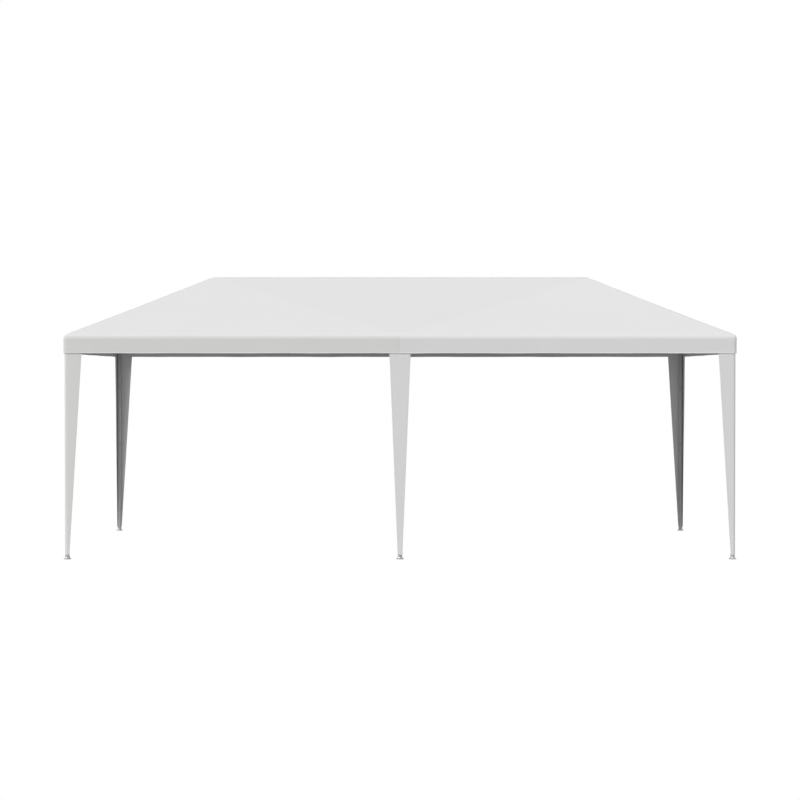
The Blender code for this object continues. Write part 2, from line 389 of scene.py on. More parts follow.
class Paint:
    """One material under construction, with its Principled shader."""

    def __init__(self, name: str, roughness: float, metallic: float, specular: float) -> None:
        """Start a material whose other values are set by its finish."""
        self.material = bpy.data.materials.new(name)
        self.material.use_nodes = True
        self.graph = Graph(self.material.node_tree)
        self.shader = self.material.node_tree.nodes["Principled BSDF"]
        self.shader.inputs["Roughness"].default_value = roughness
        self.shader.inputs["Metallic"].default_value = metallic
        self.shader.inputs["Specular IOR Level"].default_value = specular
        self.where = self.graph.add("ShaderNodeTexCoord")

    def effect(self, tree: bpy.types.NodeTree, **values: object) -> bpy.types.NodeSocket:
        """The output of a shared effect.

        Args:
            tree: The effect's group.
            **values: Its inputs.

        Returns:
            Its one output.
        """
        return self.graph.add("ShaderNodeGroup", values, node_tree=tree).outputs[0]

    def blend(self, share: object, low: Colour, high: Colour) -> bpy.types.NodeSocket:
        """A colour that goes from low to high with the share."""
        inputs = {0: share, 6: (*low, 1.0), 7: (*high, 1.0)}
        return self.graph.add("ShaderNodeMix", inputs, data_type="RGBA").outputs[2]

    def scaled(self, colour: object, factor: object) -> bpy.types.NodeSocket:
        """A colour made lighter or darker by a factor."""
        return self.graph.add("ShaderNodeVectorMath", {0: colour, 3: factor}, operation="SCALE").outputs[0]

    def connect(self, socket: object, name: str) -> None:
        """Feed one of the shader's inputs."""
        self.graph.tree.links.new(socket, self.shader.inputs[name])

    def bump(self, height: object, strength: float, distance: float) -> None:
        """Feed the shader's normal from a height."""
        inputs = {"Height": height, "Strength": strength, "Distance": distance}
        self.connect(self.graph.add("ShaderNodeBump", inputs).outputs[0], "Normal")


@dataclass(frozen=True)
class CoatedSheet:
    """Woven tape sheet with a satin coat; the roll for some pieces is a little duller, and the middles of
    the long slopes carry painted sag shade.
    """

    name: str
    colour: Colour
    dull_colour: Colour
    roughness: float = 0.55
    tape_pitch: float = 0.0028
    # How much darker the middles of the long slopes are painted, as shade of their sag.
    painted_sag_shade: float = 0.017

    def make(self, effects: Effects) -> bpy.types.Material:
        """Build the material.

        Args:
            effects: The shared surface effects.

        Returns:
            The material.
        """
        paint = Paint(self.name, self.roughness, 0.0, 0.35)
        graph, place = paint.graph, paint.where.outputs["Object"]
        dull = graph.add("ShaderNodeAttribute", attribute_name="dull").outputs["Fac"]
        # slack marks the middles of the long slopes; the colour below is darkened there as painted shade of
        # their sag.
        slack = graph.add("ShaderNodeAttribute", attribute_name="slack").outputs["Fac"]
        clouds = paint.effect(effects.mottle, Vector=place, Size=0.45)
        shade = graph.math(
            "MULTIPLY", graph.span(clouds, 0.992, 1.008), graph.span(slack, 1.0, 1.0 - self.painted_sag_shade)
        )
        paint.connect(paint.scaled(paint.blend(dull, self.colour, self.dull_colour), shade), "Base Color")
        rubbed = paint.effect(effects.mottle, Vector=place, Size=0.06)
        paint.connect(graph.span(rubbed, self.roughness - 0.06, self.roughness + 0.08), "Roughness")
        weave = paint.effect(effects.weave, Vector=paint.where.outputs["UV"], Pitch=self.tape_pitch)
        paint.bump(weave, 0.12, 0.0002)
        return paint.material


@dataclass(frozen=True)
class PowderCoat:
    """Baked coat or plating on steel, scuffed down to a brighter metal."""

    name: str
    colour: Colour
    worn: Colour
    roughness: float
    metallic: float
    mark_size: float = 0.006
    marks: float = 0.36

    def make(self, effects: Effects) -> bpy.types.Material:
        """Build the material.

        Args:
            effects: The shared surface effects.

        Returns:
            The material.
        """
        paint = Paint(self.name, self.roughness, self.metallic, 0.5)
        graph, place = paint.graph, paint.where.outputs["Object"]
        marks = paint.effect(effects.scuff, Vector=place, Size=self.mark_size, Amount=self.marks)
        clouds = paint.effect(effects.mottle, Vector=place, Size=0.05)
        tint = paint.blend(marks, self.colour, self.worn)
        paint.connect(paint.scaled(tint, graph.span(clouds, 0.96, 1.04)), "Base Color")
        paint.connect(graph.span(marks, self.roughness, self.roughness - 0.1), "Roughness")
        peel = paint.effect(effects.mottle, Vector=place, Size=0.0016)
        paint.bump(graph.math("SUBTRACT", peel, graph.math("MULTIPLY", marks, 0.4)), 0.12, 0.0002)
        return paint.material


@dataclass(frozen=True)
class Textile:
    """Narrow woven goods: webbing and sewing thread."""

    name: str
    colour: Colour
    shadow: Colour
    pitch: float

    def make(self, effects: Effects) -> bpy.types.Material:
        """Build the material.

        Args:
            effects: The shared surface effects.

        Returns:
            The material.
        """
        paint = Paint(self.name, 0.8, 0.0, 0.2)
        place = paint.where.outputs["Object"]
        ribs = paint.graph.add(
            "ShaderNodeTexWave",
            {"Vector": place, "Scale": 0.3 / self.pitch, "Distortion": 0.6, "Detail": 1.0},
            wave_type="BANDS",
            bands_direction="DIAGONAL",
        ).outputs[1]
        fluff = paint.effect(effects.mottle, Vector=place, Size=self.pitch * 3)
        tint = paint.blend(ribs, self.shadow, self.colour)
        paint.connect(paint.scaled(tint, paint.graph.span(fluff, 0.94, 1.06)), "Base Color")
        paint.bump(ribs, 0.3, 0.0003)
        return paint.material


class Finishes:
    """Every material of the tent."""

    def __init__(self) -> None:
        """Build the materials once."""
        effects = Effects()
        sheet = (0.80, 0.80, 0.797)
        duller = (0.764, 0.764, 0.748)
        self.roof = CoatedSheet("white_canopy_sheet", sheet, duller).make(effects)
        self.cover = CoatedSheet("white_cover_sheet", sheet, duller, 0.6, 0.0024).make(effects)
        self.tube = PowderCoat("coated_tube", (0.62, 0.62, 0.615), (0.7, 0.7, 0.7), 0.4, 0.3).make(effects)
        self.joint = PowderCoat("cast_joint", (0.55, 0.55, 0.545), (0.7, 0.7, 0.7), 0.46, 0.35).make(effects)
        self.foot = PowderCoat(
            "scuffed_foot", (0.61, 0.61, 0.60), (0.7, 0.7, 0.69), 0.38, 0.45, 0.004, 0.44
        ).make(effects)
        self.zinc = PowderCoat(
            "zinc_screw", (0.55, 0.55, 0.54), (0.7, 0.7, 0.69), 0.3, 0.9, 0.002
        ).make(effects)
        self.webbing = Textile("webbing", (0.64, 0.64, 0.63), (0.50, 0.50, 0.49), 0.0016).make(effects)
        self.thread = Textile("sewing_thread", (0.78, 0.78, 0.77), (0.6, 0.6, 0.59), 0.0005).make(effects)


def link(obj: bpy.types.Object) -> bpy.types.Object:
    """Put an object into the scene."""
    bpy.context.scene.collection.objects.link(obj)
    return obj


def mesh_object(name: str, bm: bmesh.types.BMesh, material: bpy.types.Material) -> bpy.types.Object:
    """Turn a bmesh into an object, shaded smooth with its sharp edges kept.

    Args:
        name: The object's name.
        bm: The mesh, which is freed.
        material: Its material.

    Returns:
        The object.
    """
    mesh = bpy.data.meshes.new(name)
    bm.to_mesh(mesh)
    bm.free()
    mesh.materials.append(material)
    mesh.shade_smooth()
    mesh.set_sharp_from_angle(angle=SHARP_ANGLE)
    return link(bpy.data.objects.new(name, mesh))


def finished_mesh(obj: bpy.types.Object, name: str) -> bpy.types.Mesh:
    """The evaluated mesh of an object, which is then removed."""
    bpy.context.view_layer.update()
    mesh = bpy.data.meshes.new_from_object(obj.evaluated_get(bpy.context.evaluated_depsgraph_get()))
    mesh.name = name
    bpy.data.objects.remove(obj)
    return mesh


def report(piece: bpy.types.Object, slot: Slot | None, *nodes: str) -> bpy.types.Object:
    """Fix a piece to the tent and log it.

    Args:
        piece: The finished piece.
        slot: The record's slot that it takes its finish from, if it has one; not used.
        *nodes: The nodes that it replaces.

    Returns:
        The piece.
    """
    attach(piece, "root")
    if nodes:
        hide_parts(*nodes)
    LOG.info("%s: %d faces, for %s", piece.name, len(piece.data.polygons), ", ".join(nodes) or "no node")
    return piece


class Turnery:
    """Gathers turned shapes into one mesh."""

    def __init__(self) -> None:
        """Start empty."""
        self.bm = bmesh.new()

    def turn(
        self, profile: Profile, origin: Vector, axis: Vector, sides: int = 36, ring: bool = False
    ) -> None:
        """Add a solid of revolution.

        Args:
            profile: Points (radius, distance along the axis), from axis to axis, or round a ring.
            origin: Where the axis starts.
            axis: Its direction.
            sides: The number of facets.
            ring: Whether the profile closes on itself.
        """
        axis = axis.normalized()
        first = axis.orthogonal().normalized()
        second = axis.cross(first)
        rows = []
        for radius, along in profile:
            centre = origin + axis * along
            if radius < 1e-9:
                rows.append([self.bm.verts.new(centre)] * sides)
                continue
            row = []
            for number in range(sides):
                angle = math.tau * number / sides
                out = first * math.cos(angle) + second * math.sin(angle)
                row.append(self.bm.verts.new(centre + out * radius))
            rows.append(row)
        pairs = list(zip(rows, rows[1:]))
        if ring:
            pairs.append((rows[-1], rows[0]))
        made = []
        for lower, upper in pairs:
            for number in range(sides):
                after = (number + 1) % sides
                corners = (lower[number], lower[after], upper[after], upper[number])
                distinct = list(dict.fromkeys(corners))
                if len(distinct) > 2:
                    made.append(self.bm.faces.new(distinct))
        bmesh.ops.recalc_face_normals(self.bm, faces=made)

    def block(self, low: Vector, high: Vector) -> None:
        """Add a box between two corners."""
        made = bmesh.ops.create_cube(self.bm, size=1.0)["verts"]
        middle, size = (low + high) / 2, high - low
        for vert in made:
            vert.co = middle + Vector(a * b for a, b in zip(vert.co, size))

    def finish(self, name: str, material: bpy.types.Material) -> bpy.types.Object:
        """Turn what was gathered into an object."""
        return mesh_object(name, self.bm, material)


def outward(grid: np.ndarray, centre: tuple[float, float, float]) -> np.ndarray:
    """Unit normals of a grid of points, away from a centre.

    Args:
        grid: Points, rows by columns by 3.
        centre: The point that they face away from.

    Returns:
        One normal for each point.
    """
    normals = np.cross(np.gradient(grid, axis=1), np.gradient(grid, axis=0))
    normals /= np.linalg.norm(normals, axis=2, keepdims=True) + 1e-12
    away = (normals * (grid - np.array(centre))).sum(axis=2, keepdims=True)
    return np.where(away < 0, -normals, normals)


def corner_values(values: np.ndarray, closed: bool) -> np.ndarray:
    """Values of a grid's points, given to the four corners of each of its faces.

    Args:
        values: One row of numbers for each point.
        closed: Whether the last column meets the first.

    Returns:
        An array of faces by 4 by numbers.
    """
    after = np.roll(values, -1, axis=1)
    quads = np.stack([values[:-1], after[:-1], after[1:], values[1:]], axis=2)
    if not closed:
        quads = quads[:, :-1]
    return quads.reshape(-1, 4, values.shape[2])


def sheet_object(
    name: str,
    grid: np.ndarray,
    uv: np.ndarray,
    material: bpy.types.Material,
    thickness: float,
    closed: bool = False,
    outside: bool = False,
    marks: dict[str, np.ndarray] | None = None,
) -> bpy.types.Object:
    """A sheet on a grid of points, with a thickness.

    Args:
        name: The object's name.
        grid: Points, rows by columns by 3; with rows upwards, columns run anticlockwise.
        uv: The cloth's own coordinates in metres, of each point or of each face corner.
        material: Its material.
        thickness: The cloth's thickness.
        closed: Whether the last column meets the first.
        outside: Whether the thickness goes outwards from the grid.
        marks: Numbers for each face, by attribute name.

    Returns:
        The object, with a live Solidify modifier.
    """
    rows, columns = grid.shape[:2]
    index = np.arange(rows * columns).reshape(rows, columns, 1)
    faces = corner_values(index, closed)[:, :, 0]
    mesh = bpy.data.meshes.new(name)
    mesh.from_pydata(grid.reshape(-1, 3).tolist(), [], faces.tolist())
    layer = mesh.uv_layers.new(name="cloth")
    corners = corner_values(uv, closed) if uv.ndim == 3 and uv.shape[:2] == (rows, columns) else uv
    layer.data.foreach_set("uv", corners.reshape(-1).astype(np.float32))
    for label, numbers in (marks or {}).items():
        mesh.attributes.new(label, "FLOAT", "FACE").data.foreach_set("value", numbers.astype(np.float32))
    bm = bmesh.new()
    bm.from_mesh(mesh)
    bmesh.ops.remove_doubles(bm, verts=bm.verts, dist=0.00001)
    for edge in bm.edges:
        edge.smooth = not edge.is_boundary
    bm.to_mesh(mesh)
    bm.free()
    mesh.materials.append(material)
    mesh.shade_smooth()
    obj = link(bpy.data.objects.new(name, mesh))
    wall = obj.modifiers.new("cloth", "SOLIDIFY")
    wall.thickness = thickness
    wall.offset = 1.0 if outside else -1.0
    return obj


@dataclass(frozen=True)
class Level:
    """One level of the canopy: how far in each side stands and how high."""

    side_inset: float
    side_z: float
    end_inset: float
    end_z: float
    radius: float
    rise: float = 0.0
    drop: float = 0.0


@dataclass
class Canopy:
    """The roof and its valance: one sewn sheet from the turned hem up over the eaves to the ridge."""

    sizes: TentSizes
    finishes: Finishes
    thickness: float = 0.001
    crown_radius: float = 0.0228
    corner_radius: float = 0.030
    crown_corner: float = 0.008
    hem_turn: float = 0.025
    hem_gap: float = 0.0022
    hem_stitch: float = 0.020
    eave_stitch: float = 0.108
    side_columns: int = 112
    end_columns: int = 60
    corner_columns: int = 6
    slope_rows: int = 26
    arc_rows: int = 8
    side_sag: float = 0.003
    end_sag: float = 0.003
    hip_sag: float = 0.0035
    end_flare: float = 0.0035
    ripple: float = 0.0018
    pinch: float = 0.0028
    pinch_height: float = 0.010
    band_half: float = 0.012
    dull_share: float = 0.5
    # Width of the ramp at the ends of the painted sag shade on the long slopes.
    painted_shade_edge: float = 0.10
    pull_lines: int = 9
    pull_height: float = 0.0012
    pull_reach: float = 0.3
    wave_lengths: tuple[float, float] = (0.83, 0.47)
    flat: tuple[float, float] = (3.60, 6.66)
    flat_area: float = 22.5
    hem_row: int = field(init=False)
    hem_stitch_row: int = field(init=False)
    eave_stitch_row: int = field(init=False)
    rows: list[Level] = field(init=False)
    sides: np.ndarray = field(init=False)
    column_run: np.ndarray = field(init=False)
    corners: list[int] = field(init=False)
    middles: list[int] = field(init=False)
    grid: np.ndarray = field(init=False)
    outside: np.ndarray = field(init=False)

    def __post_init__(self) -> None:
        """Work out the grid of points, which the seams and the stitching follow too."""
        self.rows = self.levels()
        self.sides, self.column_run, self.corners, self.middles = self.layout()
        grid = np.array([self.ring(level) for level in self.rows])
        wide = np.concatenate([grid[:, -1:], grid, grid[:, :1]], axis=1)
        self.outside = outward(wide, (0.0, 0.0, 1.0))[:, 1:-1]
        self.grid = grid + self.outside * self.hang()[:, :, None]

    def levels(self) -> list[Level]:
        """Every level, from the inner edge of the hem to the ridge; notes the rows that are sewn.

        Returns:
            The levels in order.
        """
        sizes, radius, gap = self.sizes, self.corner_radius, self.hem_gap
        hem, arc_start, end_start = sizes.hem_z, sizes.side_eave.centre_z, sizes.end_eave.centre_z
        levels = []
        for depth, above in ((gap, self.hem_turn), (gap, 0.010), (gap, 0.003), (gap * 0.9, 0.001)):
            inset = depth + self.pinched(above, arc_start - hem)
            levels.append(Level(inset, hem + above, depth, hem + above, radius - depth, drop=1.0))
        levels.append(Level(gap / 2, hem, gap / 2, hem, radius - gap / 2, drop=1.0))
        self.hem_row = len(levels)
        heights = (0.0008, 0.0035, 0.0085, 0.0115, self.hem_stitch, 0.045, 0.075, self.eave_stitch)
        for above in heights:
            share = above / (arc_start - hem)
            end_z = hem + (end_start - hem) * share
            inset = self.pinched(above, arc_start - hem)
            levels.append(Level(inset, hem + above, 0.0, end_z, radius, drop=1.0 - share))
        self.hem_stitch_row = self.hem_row + heights.index(self.hem_stitch)
        self.eave_stitch_row = self.hem_row + len(heights) - 1
        for step in range(self.arc_rows + 1):
            side = sizes.side_eave.point(step / self.arc_rows)
            end = sizes.end_eave.point(step / self.arc_rows)
            levels.append(Level(*side, *end, radius))
        side_foot, end_foot = side, end
        crown_z = sizes.ridge_z - self.crown_radius / math.cos(sizes.side_pitch)
        end_gap = (sizes.ridge_z - crown_z) * math.cos(sizes.end_pitch) - self.crown_radius
        crown_x = sizes.ridge_half + end_gap / math.sin(sizes.end_pitch)

        def crown(share: float) -> Level:
            """A level on the rounded crown, from the tops of the slopes at 0 to the ridge at 1."""
            side_angle = sizes.side_pitch * (1 - share)
            end_angle = sizes.end_pitch * (1 - share)
            half = self.crown_radius * math.sin(side_angle)
            return Level(
                sizes.half_width - half,
                crown_z + self.crown_radius * math.cos(side_angle),
                sizes.half_length - crown_x - self.crown_radius * math.sin(end_angle) + sizes.end_set_back,
                crown_z + self.crown_radius * math.cos(end_angle),
                min(self.crown_corner, half),
                rise=1.0,
            )

        top = crown(0.0)
        for step in range(1, self.slope_rows):
            even = step / self.slope_rows
            rise = 0.6 * even + 0.4 * (1 - math.cos(math.pi * even)) / 2
            levels.append(
                Level(
                    side_foot[0] + (top.side_inset - side_foot[0]) * rise,
                    side_foot[1] + (top.side_z - side_foot[1]) * rise,
                    end_foot[0] + (top.end_inset - end_foot[0]) * rise,
                    end_foot[1] + (top.end_z - end_foot[1]) * rise,
                    radius + (self.crown_corner - radius) * rise,
                    rise=rise,
                )
            )
        levels += [crown(share) for share in (0.0, 0.4, 0.75, 1.0)]
        flare = self.end_flare
        return [replace(level, end_inset=level.end_inset - flare * (1 - level.rise)) for level in levels]

    def pinched(self, above: float, height: float) -> float:
        """How far the hem's stitching draws the valance in on the long sides.

        Args:
            above: Height above the hem.
            height: Height at which the valance is straight again.

        Returns:
            The inset.
        """
        return float(np.interp(above, (0.0, self.pinch_height, height), (0.0, self.pinch, 0.0)))

    def ring(self, level: Level) -> np.ndarray:
        """The points of one level, anticlockwise from the left end of the front.

        Args:
            level: The level.

        Returns:
            Points, columns by 3.
        """
        radius = level.radius
        centres = (
            self.sizes.half_length - level.end_inset - radius,
            self.sizes.half_width - level.side_inset - radius,
        )
        heights = (level.side_z, level.end_z)
        points = []
        for side in range(4):
            facing = math.pi / 2 * (side - 1)
            out = np.array([math.cos(facing), math.sin(facing)])
            along = np.array([-out[1], out[0]])
            reach, half = centres[(side + 1) % 2], centres[side % 2]
            for run in self.runs(side):
                place = out * (reach + radius) + along * half * (2 * run - 1)
                points.append((*place, heights[side % 2]))
            for step in range(1, self.corner_columns):
                share = step / self.corner_columns
                angle = facing + share * math.pi / 2
                place = out * reach + along * half + radius * np.array([math.cos(angle), math.sin(angle)])
                height = heights[side % 2] * (1 - share) + heights[(side + 1) % 2] * share
                points.append((*place, height))
        return np.array(points)

    def runs(self, side: int) -> np.ndarray:
        """Where the columns of a side stand, from 0 to 1, closer together near its corners."""
        even = np.linspace(0, 1, (self.end_columns if side % 2 else self.side_columns) + 1)
        return 0.5 * even + 0.25 * (1 - np.cos(math.pi * even))

    def layout(self) -> tuple[np.ndarray, np.ndarray, list[int], list[int]]:
        """Which side each column belongs to, and where it stands on it.

        Returns:
            The side of each column, its run along that side, the middle column of each corner,
            and the middle column of each side.
        """
        sides, runs, corners, middles = [], [], [], []
        for side in range(4):
            places = self.runs(side)
            middles.append(len(sides) + len(places) // 2)
            sides += [side] * len(places)
            runs += list(places)
            corners.append(len(sides) + self.corner_columns // 2 - 1)
            for step in range(1, self.corner_columns):
                before = step < self.corner_columns / 2
                sides.append(side if before else (side + 1) % 4)
                runs.append(1.0 if before else 0.0)
        return np.array(sides), np.array(runs), corners, middles

    def slack(self) -> np.ndarray:
        """How much each point belongs to the middle of a long slope, between its pull lines, where the sheet
        gets painted sag shade.
        """
        rise = np.array([level.rise for level in self.rows])[:, None]
        past = (self.sizes.ridge_half * rise - np.abs(self.grid[:, :, 0])) / self.painted_shade_edge + 0.5
        return np.clip(past, 0, 1) * (self.sides % 2 == 0)

    def hang(self) -> np.ndarray:
        """How far each point moves outwards: sag of the slopes, pull at the corners, waves of the valance.

        Returns:
            A distance for each point.
        """
        rise = np.array([level.rise for level in self.rows])[:, None]
        drop = np.array([level.drop for level in self.rows])[:, None]
        run, long_side = self.column_run[None, :], (self.sides % 2 == 0)[None, :]
        sag_long = self.side_sag * np.sin(2 * math.pi * run) ** 2
        sag_end = self.end_sag * np.sin(math.pi * run) ** 2
        shift = -(self.hip_sag + np.where(long_side, sag_long, sag_end)) * np.sin(math.pi * rise)
        half = np.where(long_side, self.sizes.half_length, self.sizes.half_width)
        from_corner = 2 * half * np.minimum(run, 1 - run)
        up_slope = rise * self.sizes.half_width
        reach = np.hypot(from_corner, up_slope)
        bearing = np.arctan2(up_slope, from_corner + 1e-6)
        fan = np.sin(self.pull_lines * bearing) * np.exp(-reach / self.pull_reach)
        shift += self.pull_height * fan * np.minimum(1, reach / 0.05) * (rise < 0.98)
        turn = 2 * math.pi * (2 * half * run + 1.3 * self.sides[None, :])
        long, short = self.wave_lengths
        waves = 0.6 * np.sin(turn / long) + 0.4 * np.sin(turn / short + 1.1)
        shift += self.ripple * waves * drop * np.sqrt(np.abs(np.sin(math.pi * run)))
        return shift

    def cloth_coordinates(self) -> np.ndarray:
        """The cloth's own coordinates at each face corner: along the side, and up from the hem.

        Returns:
            Faces by 4 by 2.
        """
        up = []
        for inset, z in (("side_inset", "side_z"), ("end_inset", "end_z")):
            points = np.array([(getattr(row, inset), getattr(row, z)) for row in self.rows])
            steps = np.linalg.norm(np.diff(points, axis=0), axis=1)
            up.append(np.concatenate([[0.0], np.cumsum(steps)]))
        count = self.grid.shape[1]
        heights = np.stack(up, axis=1)[:, None, :].repeat(count, axis=1)
        corners = corner_values(np.concatenate([self.grid[:, :, :2], heights], axis=2), closed=True)
        faces_side = np.tile(self.sides, len(self.rows) - 1)
        long_side = (faces_side % 2 == 0)[:, None]
        across = np.where(long_side, corners[:, :, 0], corners[:, :, 1])
        upward = np.where(long_side, corners[:, :, 2], corners[:, :, 3])
        return np.stack([across, upward], axis=2)

    def dull_faces(self, grid: np.ndarray, closed: bool) -> np.ndarray:
        """Which faces of a grid belong to the duller roll: the left half of the front valance."""
        middles = corner_values(grid, closed).mean(axis=1)
        front = middles[:, 1] < self.corner_radius * 0.5 - self.sizes.half_width
        low = middles[:, 2] < self.sizes.side_eave.point(self.dull_share)[1]
        return front & low & (middles[:, 0] < 0)

    def build(self) -> bpy.types.Object:
        """Make the sheet.

        Returns:
            The canopy.
        """
        # The slack mask carries painted shade: it darkens the sheet's colour in the middles of the long
        # slopes.
        slack = corner_values(self.slack()[:, :, None], closed=True)[:, :, 0].mean(axis=1)
        canopy = sheet_object(
            "canopy",
            self.grid,
            self.cloth_coordinates(),
            self.finishes.roof,
            self.thickness,
            closed=True,
            marks={"dull": self.dull_faces(self.grid, closed=True), "slack": slack},
        )
        panels = ("roof_panel_front", "roof_panel_back", "roof_panel_left_end", "roof_panel_right_end")
        return report(canopy, Slot.ROOF, *panels)

    def band(self, column: int, first: int, last: int) -> np.ndarray:
        """Points of a narrow band up the sheet, centred on a column.

        Args:
            column: The column that it follows.
            first: Its lowest row.
            last: The row after its highest.

        Returns:
            Points, rows by 7 by 3.
        """
        offsets = np.linspace(-self.band_half, self.band_half, 7)
        reach = 12
        rows = []
        for row in self.grid[first:last]:
            window = np.roll(row, reach - column, axis=0)[: 2 * reach + 1]
            steps = np.linalg.norm(np.diff(window, axis=0), axis=1)
            along = np.concatenate([[0.0], np.cumsum(steps)])
            along -= along[reach]
            rows.append(np.stack([np.interp(offsets, along, window[:, axis]) for axis in range(3)], axis=1))
        return np.array(rows)

    def ridge_band(self) -> np.ndarray:
        """Points of the band along the ridge, rows by 7 by 3."""
        sizes, pitch = self.sizes, self.sizes.side_pitch
        crown_z = sizes.ridge_z - self.crown_radius / math.cos(pitch)
        rows = []
        for x in np.linspace(-sizes.ridge_half + 0.02, sizes.ridge_half - 0.02, 61):
            row = []
            for y in np.linspace(self.band_half, -self.band_half, 7):
                if abs(y) < self.crown_radius * math.sin(pitch):
                    z = crown_z + math.sqrt(self.crown_radius**2 - y**2)
                else:
                    z = sizes.ridge_z - abs(y) * math.tan(pitch)
                row.append((x, y, z))
            rows.append(row)
        return np.array(rows)

    def seams(self) -> list[np.ndarray]:
        """The bands of doubled sheet over the hips, the middle seams and the ridge."""
        narrow = [self.sizes.half_width - row.side_inset < self.band_half + 0.004 for row in self.rows]
        last = narrow.index(True)
        bands = [self.band(column, self.hem_row, last) for column in self.corners]
        bands += [self.band(self.middles[side], self.hem_row, last) for side in (0, 2)]
        return [*bands, self.ridge_band()]

    def declare(self, roof: bpy.types.Object, others: list[bpy.types.Object]) -> None:
        """Do nothing; the size of the sheet it was cut from is not stated anywhere.

        Args:
            roof: The finished canopy; not used.
            others: The separate pieces sewn to it; not used.
        """


@dataclass
class SeamWork:
    """What is sewn onto the canopy and the covers: doubled bands and rows of stitches."""

    finishes: Finishes
    band_thickness: float = 0.0004
    band_gap: float = 0.0002
    stitch_length: float = 0.0065
    stitch_pitch: float = 0.010
    thread_radius: float = 0.00045
    seed: int = 7

    @property
    def lift(self) -> float:
        """How far a thread's middle stands out of the cloth."""
        return self.thread_radius * 0.4

    def bands(self, canopy: Canopy) -> tuple[bpy.types.Object, list[np.ndarray]]:
        """Sew the doubled bands over the canopy's seams.

        Args:
            canopy: The shaped canopy.

        Returns:
            The bands as one piece, and the lines of the stitches along them.
        """
        parts, lines = [], []
        for number, points in enumerate(canopy.seams()):
            normals = outward(points, (0.0, 0.0, 1.0))
            lengths = np.linalg.norm(np.diff(points, axis=0), axis=2).mean(axis=1)
            along = np.concatenate([[0.0], np.cumsum(lengths)])
            across = np.linspace(-canopy.band_half, canopy.band_half, points.shape[1])
            uv = np.stack(np.meshgrid(across, along), axis=2)
            part = sheet_object(
                f"band_{number}",
                points + normals * self.band_gap,
                uv,
                self.finishes.roof,
                self.band_thickness,
                outside=True,
                marks={"dull": canopy.dull_faces(points, closed=False)},
            )
            parts.append(finished_mesh(part, "band"))
            raised = points + normals * (self.band_gap + self.band_thickness + self.lift)
            lines += [raised[:, 1], raised[:, -2]]
        bm = bmesh.new()
        for mesh in parts:
            bm.from_mesh(mesh)
        return mesh_object("canopy_seam_bands", bm, self.finishes.roof), lines

    def rounds(self, canopy: Canopy) -> list[np.ndarray]:
        """Lines of stitches round the canopy: the hem, and the seam under the eaves."""
        lines = []
        for row in (canopy.hem_stitch_row, canopy.eave_stitch_row):
            lifted = canopy.grid[row] + canopy.outside[row] * self.lift
            lines.append(np.concatenate([lifted, lifted[:1]]))
        return lines

    def stitch_tree(self) -> bpy.types.NodeTree:
        """A tree that lays stitches along lines.

        Returns:
            The tree.
        """
        graph = new_group(
            "rows_of_stitches",
            "GeometryNodeTree",
            {
                "Geometry": "Geometry",
                "Stitch Length": "Float",
                "Pitch": "Float",
                "Thread Radius": "Float",
                "Seed": "Int",
                "Material": "Material",
            },
            {"Geometry": "Geometry"},
        )
        given = graph.add("NodeGroupInput").outputs
        lines = graph.add("GeometryNodeMeshToCurve", {"Mesh": given["Geometry"]})
        places = graph.add(
            "GeometryNodeResampleCurve",
            {"Curve": lines.outputs[0], "Length": given["Pitch"]},
            mode="LENGTH",
        )
        bead = graph.add("GeometryNodeMeshUVSphere", {"Segments": 5, "Rings": 3, "Radius": 1.0})
        half = graph.math("MULTIPLY", given["Stitch Length"], 0.5)
        radius = given["Thread Radius"]
        size = graph.add("ShaderNodeCombineXYZ", {0: half, 1: radius, 2: radius})
        thread = graph.add("GeometryNodeTransform", {"Geometry": bead.outputs[0], "Scale": size.outputs[0]})
        tangent = graph.add("GeometryNodeInputTangent")
        turn = graph.add("FunctionNodeAlignRotationToVector", {"Vector": tangent.outputs[0]}, axis="X")
        jitter = graph.add(
            "FunctionNodeRandomValue",
            {0: (0.88, 0.92, 0.92), 1: (1.06, 1.08, 1.08), "Seed": given["Seed"]},
            data_type="FLOAT_VECTOR",
        )
        placed = graph.add(
            "GeometryNodeInstanceOnPoints",
            {
                "Points": places.outputs[0],
                "Instance": thread.outputs[0],
                "Rotation": turn.outputs[0],
                "Scale": jitter.outputs[0],
            },
        )
        smooth = graph.add("GeometryNodeSetShadeSmooth", {"Geometry": placed.outputs[0]})
        return dressed_tree(graph, smooth, given["Material"])

    def stitch(self, name: str, lines: list[np.ndarray], tree: bpy.types.NodeTree) -> bpy.types.Object:
        """Lay stitches along lines.

        Args:
            name: The piece's name.
            lines: Points of each line.
            tree: The tree from stitch_tree.

        Returns:
            The stitches as one piece.
        """
        mesh = bpy.data.meshes.new(name)
        points, edges = [], []
        for line in lines:
            edges += [(len(points) + step, len(points) + step + 1) for step in range(len(line) - 1)]
            points += line.tolist()
        mesh.from_pydata(points, edges, [])
        values = {
            "Stitch Length": self.stitch_length,
            "Pitch": self.stitch_pitch,
            "Thread Radius": self.thread_radius,
            "Seed": self.seed,
            "Material": self.finishes.thread,
        }
        return grown(name, mesh, tree, values)


def grown(
    name: str, mesh: bpy.types.Mesh, tree: bpy.types.NodeTree, values: dict[str, object]
) -> bpy.types.Object:
    """Run a geometry tree on a mesh and keep the result as a plain mesh.

    Args:
        name: The piece's name.
        mesh: What the tree starts from.
        tree: The tree.
        values: Its named inputs.

    Returns:
        The piece.
    """
    source = link(bpy.data.objects.new(f"{name}_guide", mesh))
    modifier = source.modifiers.new("grow", "NODES")
    modifier.node_group = tree
    for item in tree.interface.items_tree:
        if item.item_type == "SOCKET" and item.in_out == "INPUT" and item.name in values:
            modifier[item.identifier] = values[item.name]
    return link(bpy.data.objects.new(name, finished_mesh(source, name)))


